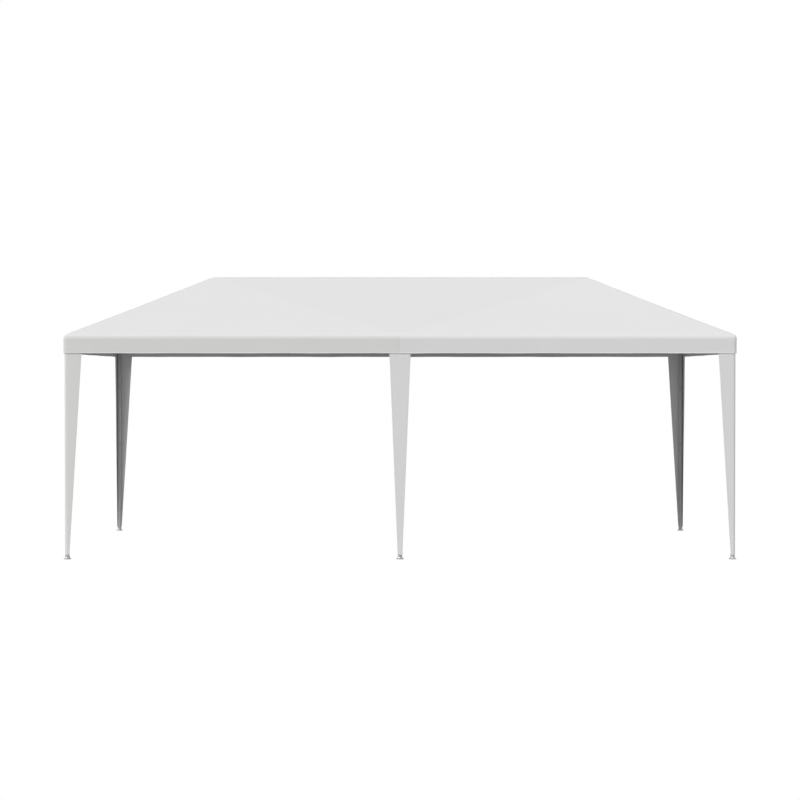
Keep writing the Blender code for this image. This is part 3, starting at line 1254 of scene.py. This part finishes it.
@dataclass
class LegCover:
    """One tapered cover that hangs down the outer side of a pole."""

    side: Side
    end: End
    sizes: TentSizes
    finishes: Finishes
    thickness: float = 0.0008
    corner_widths: tuple[float, float] = (0.0424, 0.1610)
    middle_widths: tuple[float, float] = (0.0429, 0.1982)
    bend: float = 0.0213
    hem_turn: float = 0.012
    hem_gap: float = 0.0019
    foot_gap: float = 0.0017
    hem_curl: float = 0.0006
    below: float = 0.0055
    rows: int = 36
    flutter: float = 0.0014
    stitch_lift: float = 0.0002
    foot_stitch_row: int = field(init=False)

    @property
    def name(self) -> str:
        """The name of the node that it stands for."""
        return f"leg_cover_{spot(self.side, self.end)}"

    def flap(self, reach: float) -> list[tuple[float, float]]:
        """One flap in plan, as (distance from the fold, depth), from its turned edge inwards.

        Args:
            reach: The flap's width.

        Returns:
            The points.
        """
        edge = [
            (reach - self.hem_turn, self.hem_gap),
            (reach - self.hem_curl, self.hem_gap),
            (reach, self.hem_gap / 2),
            (reach - self.hem_curl, 0.0),
        ]
        start = self.bend if self.end is not End.MIDDLE else 0.0
        sewn = reach - self.hem_turn + 0.001
        edge += [(reach - 0.0025, 0.0), (sewn, 0.0)]
        shares = (0.80, 0.55, 0.33, 0.14)
        return edge + [(start + (sewn - start) * share, 0.0) for share in shares]

    def section(self, share: float, inwards: float) -> list[tuple[float, float, float]]:
        """One level in plan at +X +Y, anticlockwise, with each point's distance from the fold.

        Args:
            share: 0 at the bottom and 1 at the top.
            inwards: How far the level lies inside the cover's face.

        Returns:
            Points (x, y, distance), measured from the outer corner or from the middle.
        """
        low, high = self.middle_widths if self.end is End.MIDDLE else self.corner_widths
        width = low + (high - low) * share
        if self.end is End.MIDDLE:
            half = [(along, -depth - inwards, along) for along, depth in self.flap(width / 2)]
            return half + [(-x, y, along) for x, y, along in reversed(half)]
        first = [(-depth - inwards, -along, along) for along, depth in self.flap(width)]
        arc, radius = [], self.bend - inwards
        for step in range(9):
            angle = math.pi / 2 * step / 8
            arc.append((radius * math.cos(angle) - self.bend, radius * math.sin(angle) - self.bend, 0.0))
        return first + arc + [(y, x, along) for x, y, along in reversed(first)]

    def levels(self) -> list[tuple[float, float]]:
        """The height of each level over the cover's foot, from the inner edge of its hem to its top.

        It notes the row on which the hem is sewn.

        Returns:
            For each level, its height and how far it lies inside the cover's face.
        """
        gap, curl = self.foot_gap, self.hem_curl
        turned = [(self.hem_turn, gap), (0.002, gap), (curl, gap * 0.9), (0.0, gap / 2), (curl, 0.0)]
        height = self.sizes.cover_top - self.sizes.cover_bottom + self.below
        self.foot_stitch_row = len(turned) + 1
        rest = [0.002, self.hem_turn - 0.001, 0.025]
        steps = [0.04 + (height - 0.042) * step / self.rows for step in range(self.rows + 1)]
        return turned + [(above, 0.0) for above in (*rest, *steps, height)]

    def grid(self) -> np.ndarray:
        """The cover's points, rows by columns by 3."""
        corner = (self.end.value or 1, self.side.value)
        start = (0.0 if self.end is End.MIDDLE else self.sizes.cover_x, self.sizes.cover_y)
        phase = 1.7 * self.end.value + 0.9 * self.side.value
        rows = []
        bottom = self.sizes.cover_bottom - self.below
        for above, inwards in self.levels():
            z = bottom + above
            share = (z - self.sizes.cover_bottom) / (self.sizes.cover_top - self.sizes.cover_bottom)
            wave = self.flutter * math.sin(math.tau * 1.2 * share + phase) * math.sin(math.pi * share)
            row = []
            for x, y, along in self.section(share, inwards):
                push = wave * (along / 0.12) ** 2
                x_share = 0.0 if self.end is End.MIDDLE or abs(x) > abs(y) else push
                y_share = push if self.end is End.MIDDLE or abs(x) > abs(y) else 0.0
                place = (start[0] + x + x_share, start[1] + y + y_share)
                row.append((place[0] * corner[0], place[1] * corner[1], z))
            rows.append(row if corner[0] * corner[1] > 0 else row[::-1])
        return np.array(rows)

    def build(self) -> tuple[bpy.types.Object, list[np.ndarray]]:
        """Make the cover.

        Returns:
            The cover and the lines of its stitches.
        """
        grid = self.grid()
        axis = (self.sizes.pole_x * self.end.value, self.sizes.pole_y * self.side.value, 1.0)
        steps = np.linalg.norm(np.diff(grid, axis=1), axis=2)
        across = np.concatenate([np.zeros((len(grid), 1)), np.cumsum(steps, axis=1)], axis=1)
        across -= across[:, -1:] / 2
        uv = np.stack([across, grid[:, :, 2]], axis=2)
        dull = self.side is Side.FRONT and self.end is End.LEFT
        faces = (grid.shape[0] - 1) * (grid.shape[1] - 1)
        cover = sheet_object(
            f"{self.name}_sheet",
            grid,
            uv,
            self.finishes.cover,
            self.thickness,
            marks={"dull": np.full(faces, float(dull))},
        )
        level = np.array([[*axis[:2], z] for z in grid[:, 0, 2]])[:, None, :]
        normals = outward(grid, axis)
        flat = grid - level
        normals = np.where((normals * flat * (1, 1, 0)).sum(axis=2, keepdims=True) < 0, -normals, normals)
        sewn, row = grid + normals * self.stitch_lift, self.foot_stitch_row
        lines = [sewn[row:-1, 5], sewn[row:-1, -6], sewn[row, 5:-5]]
        report(cover, Slot.COVER, self.name)
        return cover, lines

    def declare(self, cover: bpy.types.Object, others: list[bpy.types.Object]) -> None:
        """Work out the widths of the sheet it was cut from, without stating them anywhere.

        Args:
            cover: The finished cover; not used.
            others: The separate pieces sewn to the covers; not used.
        """
        low, high = self.middle_widths if self.end is End.MIDDLE else self.corner_widths
        if self.end is not End.MIDDLE:
            round_bend = (math.pi / 2 - 2) * self.bend
            low, high = 2 * low + round_bend, 2 * high + round_bend
        self.name.replace("leg_cover", "pole")


@dataclass
class Fastenings:
    """Webbing: straps round the poles, loops that carry the covers, ties from canopy to beams."""

    sizes: TentSizes
    finishes: Finishes
    strap_heights: tuple[float, ...] = (0.32, 0.92, 1.52)
    strap_width: float = 0.025
    webbing: float = 0.001
    slack: float = 0.0002
    loop_from_pole: float = 0.063
    tie_width: float = 0.020
    tie_gap: float = 0.0016
    tie_half: float = 0.0006
    tab_length: float = 0.022
    side_ties: tuple[float, ...] = (0.55, 1.05, 1.55, 2.05, 2.55)
    end_ties: tuple[float, ...] = (-1.0, -0.5, 0.0, 0.5, 1.0)

    def hoop(self, work: Turnery, centre: Vector, axis: Vector, inner: float, width: float) -> None:
        """A closed hoop of webbing round a tube.

        Args:
            work: Where it goes.
            centre: Its middle.
            axis: The tube's direction.
            inner: Its inner radius.
            width: The webbing's width.
        """
        outer, half, round_off = inner + self.webbing, width / 2, self.webbing * 0.3
        profile = [
            (inner, -half),
            (outer - round_off, -half),
            (outer, -half + round_off),
            (outer, half - round_off),
            (outer - round_off, half),
            (inner, half),
        ]
        work.turn(profile, centre, axis, sides=28, ring=True)

    def straps(self, work: Turnery) -> None:
        """The straps that hold each cover to its pole."""
        inner = self.sizes.pole_radius + self.slack
        for _, _, foot in self.sizes.stands():
            for z in self.strap_heights:
                self.hoop(work, foot + UP * z, UP, inner, self.strap_width)

    def hanging_loop(self, work: Turnery, centre: Vector, along_x: bool, sign: int) -> None:
        """A loop round a sleeve, with the tab that runs down inside the top of a cover.

        Args:
            work: Where it goes.
            centre: The middle of the loop, on the sleeve's axis.
            along_x: Whether the sleeve runs along X.
            sign: Which way the outside of the tent lies.
        """
        sizes = self.sizes
        inner = sizes.sleeve_radius + self.slack
        axis = Vector((1, 0, 0)) if along_x else Vector((0, 1, 0))
        self.hoop(work, centre, axis, inner, self.tie_width)
        out = Vector((0, sign, 0)) if along_x else Vector((sign, 0, 0))
        near, far = centre + out * inner, centre + out * (inner + self.webbing)
        bottom, top = sizes.cover_top - self.tab_length, centre.z
        near.z, far.z = bottom, top
        side = axis * self.tie_width / 2
        work.block(near - side, far + side)

    def loops(self, work: Turnery) -> None:
        """Two loops for each cover."""
        off = self.loop_from_pole
        for side, end, foot in self.sizes.stands():
            place = foot + UP * self.sizes.beam_z
            for way in end.inwards:
                self.hanging_loop(work, place + Vector((way * off, 0, 0)), True, side.value)
            if end is not End.MIDDLE:
                self.hanging_loop(work, place - Vector((0, side.value * off, 0)), False, end.value)

    def ties(self, work: Turnery) -> None:
        """Ties that hold the canopy down on the eave beams."""
        sizes = self.sizes
        inner = sizes.tube_radius + self.slack
        places = []
        for side in Side:
            for x in self.side_ties:
                places += [(sign * x, sizes.pole_y * side.value, True) for sign in (-1, 1)]
        for end in ENDS:
            places += [(sizes.pole_x * end.value, y, False) for y in self.end_ties]
        for x, y, along_x in places:
            axis = Vector((1, 0, 0)) if along_x else Vector((0, 1, 0))
            self.hoop(work, Vector((x, y, sizes.beam_z)), axis, inner, self.tie_width)
            eave = sizes.side_eave if along_x else sizes.end_eave
            top = eave.height(sizes.half_width - sizes.pole_y) - self.tie_gap
            bottom = sizes.beam_z + inner + self.webbing / 2
            half = axis * self.tie_width / 2
            across = Vector((0, self.tie_half, 0)) if along_x else Vector((self.tie_half, 0, 0))
            low = Vector((x, y, bottom)) - half - across
            work.block(low, Vector((x, y, top)) + half + across)

    def build(self) -> bpy.types.Object:
        """Make all the webbing.

        Returns:
            The webbing as one piece.
        """
        work = Turnery()
        self.straps(work)
        self.loops(work)
        self.ties(work)
        return report(work.finish("webbing_straps_and_ties", self.finishes.webbing), Slot.COVER)


@dataclass
class Frame:
    """The poles, beams, rafters, ridge, joints and feet."""

    sizes: TentSizes
    finishes: Finishes
    pole_bore: float = 0.0166
    tube_bore: float = 0.0145
    lip: float = 0.0007
    sleeve_length: float = 0.110
    socket_start: float = 0.050
    socket_radius: float = 0.0163
    collar_length: float = 0.050
    spigot_length: float = 0.060
    foot_height: float = 0.022
    foot_spigot: float = 0.045
    screw_at: float = 0.092
    pole_joint_z: float = 1.05
    groove_half: float = 0.0012
    groove_depth: float = 0.0006
    screw_size: tuple[float, float] = (0.0050, 0.0050)
    button_size: tuple[float, float] = (0.0035, 0.0026)
    button_over_joint: float = 0.045
    button_under_top: float = 0.035

    def tube_profile(self, length: float, radius: float, bore: float, grooves: tuple[float, ...]) -> Profile:
        """The wall of a tube with rolled ends and narrow grooves where two lengths meet.

        Args:
            length: Its length.
            radius: Its outer radius.
            bore: Its inner radius.
            grooves: Distances of the grooves from its start.

        Returns:
            A closed profile.
        """
        lip, deep = self.lip, self.groove_depth
        profile = [(radius - lip, 0.0), (radius - lip * 0.3, lip * 0.3), (radius, lip)]
        for at in grooves:
            profile += [(radius, at - self.groove_half), (radius - deep, at - deep)]
            profile += [(radius - deep, at + deep), (radius, at + self.groove_half)]
        profile += [(radius, length - lip), (radius - lip * 0.3, length - lip * 0.3), (radius - lip, length)]
        return profile + [(bore, length), (bore, 0.0)]

    def poles(self) -> None:
        """Each pole in two lengths that meet in a swaged joint."""
        sizes = self.sizes
        length = sizes.pole_top - sizes.pole_bottom
        profile = self.tube_profile(
            length, sizes.pole_radius, self.pole_bore, (self.pole_joint_z - sizes.pole_bottom,)
        )
        for side, end, foot in sizes.stands():
            node = f"pole_{spot(side, end)}"
            work = Turnery()
            work.turn(profile, foot + UP * sizes.pole_bottom, UP, sides=44, ring=True)
            report(work.finish(f"{node}_tube", self.finishes.tube), Slot.TUBE, node)

    def joint_places(self) -> Joints:
        """Where each joint stands, and where its sleeves point.

        Returns:
            For each joint's node, its centre and its sleeves' directions.
        """
        sizes, centres, joints = self.sizes, {}, {}
        tops = {end: Vector((sizes.ridge_joint_x * end.value, 0, sizes.ridge_axis_z)) for end in End}
        for side, end, foot in sizes.stands():
            place = foot + UP * sizes.beam_z
            centres[side, end] = place
            ways = [Vector((way, 0, 0)) for way in end.inwards]
            name = f"eave_joint_{side.name.lower()}"
            if end is not End.MIDDLE:
                name = f"corner_joint_{spot(side, end)}"
                ways.append(Vector((0, -side.value, 0)))
            joints[name] = (place, [*ways, tops[end] - place])
        for end, top in tops.items():
            ways = [Vector((way, 0, 0)) for way in end.inwards]
            down = [centres[side, end] - top for side in Side]
            joints[f"ridge_joint_{end.name.lower()}"] = (top, ways + down)
        return joints

    def tubes(self, joints: Joints) -> None:
        """The beams, rafters and ridge tubes between the joints.

        Args:
            joints: The joints from joint_places.
        """
        runs = {}
        for side in ("front", "back"):
            for end in ("left", "right"):
                corner = f"corner_joint_{side}_{end}"
                runs[f"eave_beam_{side}_{end}"] = (corner, f"eave_joint_{side}")
                runs[f"hip_rafter_{side}_{end}"] = (corner, f"ridge_joint_{end}")
            runs[f"middle_rafter_{side}"] = (f"eave_joint_{side}", "ridge_joint_middle")
        for end in ("left", "right"):
            runs[f"eave_beam_{end}_end"] = (f"corner_joint_front_{end}", f"corner_joint_back_{end}")
            runs[f"ridge_tube_{end}"] = (f"ridge_joint_{end}", "ridge_joint_middle")
        for node, (first, second) in runs.items():
            start, stop = joints[first][0], joints[second][0]
            way = (stop - start).normalized()
            length = (stop - start).length - 2 * self.sizes.socket_depth
            profile = self.tube_profile(length, self.sizes.tube_radius, self.tube_bore, (length / 2,))
            work = Turnery()
            work.turn(profile, start + way * self.sizes.socket_depth, way, sides=36, ring=True)
            report(work.finish(f"{node}_tube", self.finishes.tube), Slot.TUBE, node)

    def sleeve_profile(self) -> Profile:
        """A sleeve with a bead where it leaves the hub, a rolled mouth and a blind socket."""
        radius, length = self.sizes.sleeve_radius, self.sleeve_length
        return [
            (0.0, 0.0),
            (radius, 0.0),
            (radius, 0.0370),
            (radius + 0.0006, 0.0385),
            (radius + 0.0006, 0.0405),
            (radius, 0.0420),
            (radius, length - 0.0060),
            (radius + 0.0008, length - 0.0048),
            (radius + 0.0008, length - 0.0012),
            (radius + 0.0002, length),
            (self.socket_radius, length),
            (self.socket_radius, self.socket_start),
            (0.0, self.socket_start),
        ]

    def joint(self, name: str, centre: Vector, ways: list[Vector]) -> bpy.types.Object:
        """One tube joint, its hub, sleeves, collar and spigot joined into one skin.

        Args:
            name: The piece's name.
            centre: Where its axes cross.
            ways: The directions of its sleeves.

        Returns:
            The joint.
        """
        ball = self.sizes.hub_radius
        steps = [math.pi * number / 16 for number in range(17)]
        profiles = [([(ball * math.sin(a), -ball * math.cos(a)) for a in steps], UP)]
        profiles[0][0][0] = (0.0, -ball)
        profiles[0][0][-1] = (0.0, ball)
        profiles += [(self.sleeve_profile(), way) for way in ways]
        if not name.startswith("ridge"):
            pole, spigot = self.sizes.pole_radius, self.pole_bore - 0.0003
            reach = self.collar_length + self.spigot_length
            collar = [
                (0.0, 0.0),
                (pole, 0.0),
                (pole, self.collar_length - 0.0006),
                (pole - 0.0006, self.collar_length),
                (spigot, self.collar_length),
                (spigot, reach - 0.001),
                (spigot - 0.001, reach),
                (0.0, reach),
            ]
            profiles.append((collar, -UP))
        parts = []
        for number, (profile, way) in enumerate(profiles):
            work = Turnery()
            work.turn(profile, centre, way, sides=32)
            parts.append(work.finish(f"{name}_{number}", self.finishes.joint))
        whole = parts[0]
        for part in parts[1:]:
            union = whole.modifiers.new("union", "BOOLEAN")
            union.operation = "UNION"
            union.solver = "EXACT"
            union.object = part
        bm = bmesh.new()
        bm.from_mesh(finished_mesh(whole, name))
        for part in parts[1:]:
            bpy.data.objects.remove(part)
        return mesh_object(name, bm, self.finishes.joint)

    def joints(self, joints: Joints) -> list[Seat]:
        """Every joint.

        Args:
            joints: The joints from joint_places.

        Returns:
            The seat and the outward direction of each clamping screw.
        """
        seats = []
        for node, (centre, ways) in joints.items():
            report(self.joint(f"{node}_casting", centre, ways), Slot.JOINT, node)
            for way in ways:
                way = way.normalized()
                aim = (way * UP.dot(way) - UP).normalized()
                seats.append((centre + way * self.screw_at + aim * self.sizes.sleeve_radius, aim))
        return seats

    def feet(self) -> None:
        """Flared feet, each with its spigot up the pole."""
        height, spigot = self.foot_height, self.pole_bore - 0.0003
        top = height + self.foot_spigot
        profile = [
            (0.0, top),
            (spigot - 0.0012, top),
            (spigot, top - 0.0012),
            (spigot, height),
            (0.0194, height),
            (0.0206, height - 0.0004),
            (0.0211, height - 0.0016),
            (0.0211, height - 0.0030),
            (0.0216, height - 0.0055),
            (0.0226, height - 0.0082),
            (0.0243, height - 0.0110),
            (0.0268, height - 0.0138),
            (0.0298, height - 0.0160),
            (0.0322, height - 0.0172),
            (0.0334, height - 0.0180),
            (0.0340, height - 0.0192),
            (0.0340, 0.0009),
            (0.0336, 0.0003),
            (0.0330, 0.0),
            (0.0, 0.0),
        ]
        for side, end, place in self.sizes.stands():
            node = f"foot_{spot(side, end)}"
            work = Turnery()
            work.turn(profile, place, UP, sides=56)
            report(work.finish(f"{node}_flared", self.finishes.foot), Slot.FOOT, node)

    def buttons(self) -> list[Seat]:
        """The spring buttons of the poles, on the side that faces the inside of the tent."""
        seats = []
        heights = (self.pole_joint_z + self.button_over_joint, self.sizes.pole_top - self.button_under_top)
        for side, end, foot in self.sizes.stands():
            aim = Vector((-end.value, -side.value, 0)).normalized()
            seats += [(foot + UP * z + aim * self.sizes.pole_radius, aim) for z in heights]
        return seats

    def stud_tree(self) -> bpy.types.NodeTree:
        """A tree that sets a round-headed stud on each point, along its aim.

        Returns:
            The tree.
        """
        graph = new_group(
            "studs_on_points",
            "GeometryNodeTree",
            {"Geometry": "Geometry", "Radius": "Float", "Height": "Float", "Material": "Material"},
            {"Geometry": "Geometry"},
        )
        given = graph.add("NodeGroupInput").outputs
        shank = graph.add(
            "GeometryNodeMeshCylinder",
            {"Vertices": 16, "Radius": given["Radius"], "Depth": given["Height"]},
        )
        dome = graph.add("GeometryNodeMeshUVSphere", {"Segments": 16, "Rings": 8, "Radius": 1.0})
        half = graph.math("MULTIPLY", given["Height"], 0.5)
        size = graph.add("ShaderNodeCombineXYZ", {0: given["Radius"], 1: given["Radius"], 2: half})
        lift = graph.add("ShaderNodeCombineXYZ", {2: half})
        cap = graph.add(
            "GeometryNodeTransform",
            {"Geometry": dome.outputs[0], "Translation": lift.outputs[0], "Scale": size.outputs[0]},
        )
        stud = graph.add("GeometryNodeJoinGeometry", {"Geometry": shank.outputs[0]})
        graph.tree.links.new(cap.outputs[0], stud.inputs["Geometry"])
        aim = graph.add("GeometryNodeInputNamedAttribute", {"Name": "aim"}, data_type="FLOAT_VECTOR")
        turn = graph.add("FunctionNodeAlignRotationToVector", {"Vector": aim.outputs[0]}, axis="Z")
        placed = graph.add(
            "GeometryNodeInstanceOnPoints",
            {"Points": given["Geometry"], "Instance": stud.outputs[0], "Rotation": turn.outputs[0]},
        )
        return dressed_tree(graph, placed, given["Material"])

    def studs(
        self, name: str, seats: list[Seat], size: tuple[float, float], tree: bpy.types.NodeTree
    ) -> bpy.types.Object:
        """Set studs on their seats.

        Args:
            name: The piece's name.
            seats: The place and the direction of each.
            size: A stud's radius and height.
            tree: The tree from stud_tree.

        Returns:
            The studs as one piece.
        """
        mesh = bpy.data.meshes.new(name)
        mesh.from_pydata([seat for seat, _ in seats], [], [])
        aims = np.array([aim for _, aim in seats], np.float32)
        mesh.attributes.new("aim", "FLOAT_VECTOR", "POINT").data.foreach_set("vector", aims.reshape(-1))
        values = {"Radius": size[0], "Height": size[1], "Material": self.finishes.zinc}
        studs = grown(name, mesh, tree, values)
        studs.data.shade_smooth()
        studs.data.set_sharp_from_angle(angle=SHARP_ANGLE)
        return report(studs, Slot.JOINT)

    def build(self) -> None:
        """Make the whole frame."""
        self.poles()
        places = self.joint_places()
        self.tubes(places)
        seats = self.joints(places)
        self.feet()
        tree = self.stud_tree()
        self.studs("clamping_screws", seats, self.screw_size, tree)
        self.studs("spring_buttons", self.buttons(), self.button_size, tree)


@dataclass(frozen=True)
class Sun:
    """A wide soft lamp far away, by the share of its light along each axis."""

    name: str
    reach: tuple[float, float, float]
    spread: float = math.radians(18)

    def hang(self) -> None:
        """Put the lamp into the scene."""
        data = bpy.data.lights.new(self.name, "SUN")
        data.energy = Vector(self.reach).length * math.pi
        data.angle = self.spread
        lamp = link(bpy.data.objects.new(self.name, data))
        lamp.rotation_mode = "QUATERNION"
        lamp.rotation_quaternion = (-Vector(self.reach)).to_track_quat("Z", "Y")


@dataclass
class Studio:
    """Camera, light and floor. The camera is worked out for a picture of 800 by 800 pixels."""

    sizes: TentSizes
    lens: float = 79.82
    distance: float = 17.303
    height: float = 1.6374
    tilt: float = 0.0136
    ambient: float = 0.48
    suns: tuple[Sun, ...] = (
        Sun("left_key", (0.29, 0.185, -0.167)),
        Sun("front_fill", (0.11, 0.13, -0.09)),
        Sun("right_rim", (-0.08, 0.018, -0.012)),
        Sun("overhead", (0.0, 0.0, -0.16), math.radians(120)),
    )
    floor_tone: float = 0.39
    strip_tone: float = 0.54
    strip_width: float = 1.2
    cloth_tone: float = 0.07
    cloth_edge: float = 0.3
    floor_half: float = 60.0
    floor_drop: float = 0.0005

    def camera(self) -> None:
        """A long lens in front of the middle of the tent."""
        data = bpy.data.cameras.new("camera")
        data.lens = self.lens
        camera = link(bpy.data.objects.new("camera", data))
        camera.location = (0.0, -self.distance, self.height)
        camera.rotation_euler = (math.pi / 2 - self.tilt, 0.0, 0.0)
        bpy.context.scene.camera = camera

    @staticmethod
    def two_faced(graph: Graph, output: str, seen: bpy.types.Node, lit: bpy.types.Node) -> None:
        """Give a tree one shader for the camera and another for the light.

        Args:
            graph: The tree's graph.
            output: Blender's name of its output node.
            seen: The shader that the camera sees.
            lit: The shader that everything else meets.
        """
        path = graph.add("ShaderNodeLightPath")
        inputs = {0: path.outputs["Is Camera Ray"], 1: lit.outputs[0], 2: seen.outputs[0]}
        mixed = graph.add("ShaderNodeMixShader", inputs)
        graph.add(output, {"Surface": mixed.outputs[0]})

    def world(self) -> None:
        """A white backdrop for the camera, and a dimmer even light for everything else."""
        world = bpy.data.worlds.new("studio")
        world.use_nodes = True
        graph = Graph(world.node_tree)
        world.node_tree.nodes.clear()
        seen = graph.add("ShaderNodeBackground", {"Color": (1, 1, 1, 1), "Strength": 1.0})
        soft = graph.add("ShaderNodeBackground", {"Color": (1, 1, 1, 1), "Strength": self.ambient})
        self.two_faced(graph, "ShaderNodeOutputWorld", seen, soft)
        bpy.context.scene.world = world

    def floor(self) -> None:
        """A pale floor, paler round the tent, and a dark cloth under it; all white to the camera."""
        material = bpy.data.materials.new("studio_floor")
        material.use_nodes = True
        material.node_tree.nodes.clear()
        graph = Graph(material.node_tree)
        place = graph.add("ShaderNodeTexCoord").outputs["Object"]
        axes = graph.add("ShaderNodeSeparateXYZ", {"Vector": place})
        beyond = []
        for axis, half in (("X", self.sizes.half_length), ("Y", self.sizes.half_width)):
            beyond.append(graph.math("SUBTRACT", graph.math("ABSOLUTE", axes.outputs[axis]), half))
        outside = graph.math("MAXIMUM", *beyond)
        ranges = {0: outside, 1: 0.0, 2: self.strip_width, 3: self.strip_tone, 4: self.floor_tone}
        pale = graph.add("ShaderNodeMapRange", ranges).outputs[0]
        ranges = {0: outside, 1: -self.cloth_edge, 2: 0.0, 3: self.cloth_tone, 4: pale}
        tone = graph.add("ShaderNodeMapRange", ranges).outputs[0]
        matt = graph.add("ShaderNodeBsdfDiffuse", {"Color": tone})
        white = graph.add("ShaderNodeEmission", {"Color": (1, 1, 1, 1), "Strength": 1.0})
        self.two_faced(graph, "ShaderNodeOutputMaterial", white, matt)
        bm = bmesh.new()
        bmesh.ops.create_grid(bm, x_segments=1, y_segments=1, size=self.floor_half)
        bmesh.ops.translate(bm, verts=bm.verts, vec=(0, 0, -self.floor_drop))
        mesh_object("studio_floor", bm, material)

    def build(self) -> None:
        """Set up the studio."""
        self.camera()
        self.world()
        for sun in self.suns:
            sun.hang()
        self.floor()
        bpy.context.scene.view_settings.view_transform = "Standard"


def main() -> None:
    """Build the tent's looks in order and report each piece."""
    logging.basicConfig(level=logging.INFO, format="%(name)s %(message)s")
    Studio(SIZES).build()
    finishes = Finishes()
    Frame(SIZES, finishes).build()
    canopy = Canopy(SIZES, finishes)
    roof = canopy.build()
    sewing = SeamWork(finishes)
    bands, seam_lines = sewing.bands(canopy)
    report(bands, Slot.ROOF)
    tree = sewing.stitch_tree()
    roof_stitches = sewing.stitch("canopy_stitching", seam_lines + sewing.rounds(canopy), tree)
    report(roof_stitches, Slot.ROOF)
    covers, lines = [], []
    for side in Side:
        for end in End:
            cover = LegCover(side, end, SIZES, finishes)
            piece, edges = cover.build()
            covers.append((cover, piece))
            lines += edges
    cover_stitches = report(sewing.stitch("cover_stitching", lines, tree), Slot.COVER)
    webbing = Fastenings(SIZES, finishes).build()
    canopy.declare(roof, [bands, roof_stitches])
    for number, (cover, piece) in enumerate(covers):
        cover.declare(piece, [cover_stitches, webbing] if number == 0 else [])


if __name__ == "__main__":
    main()
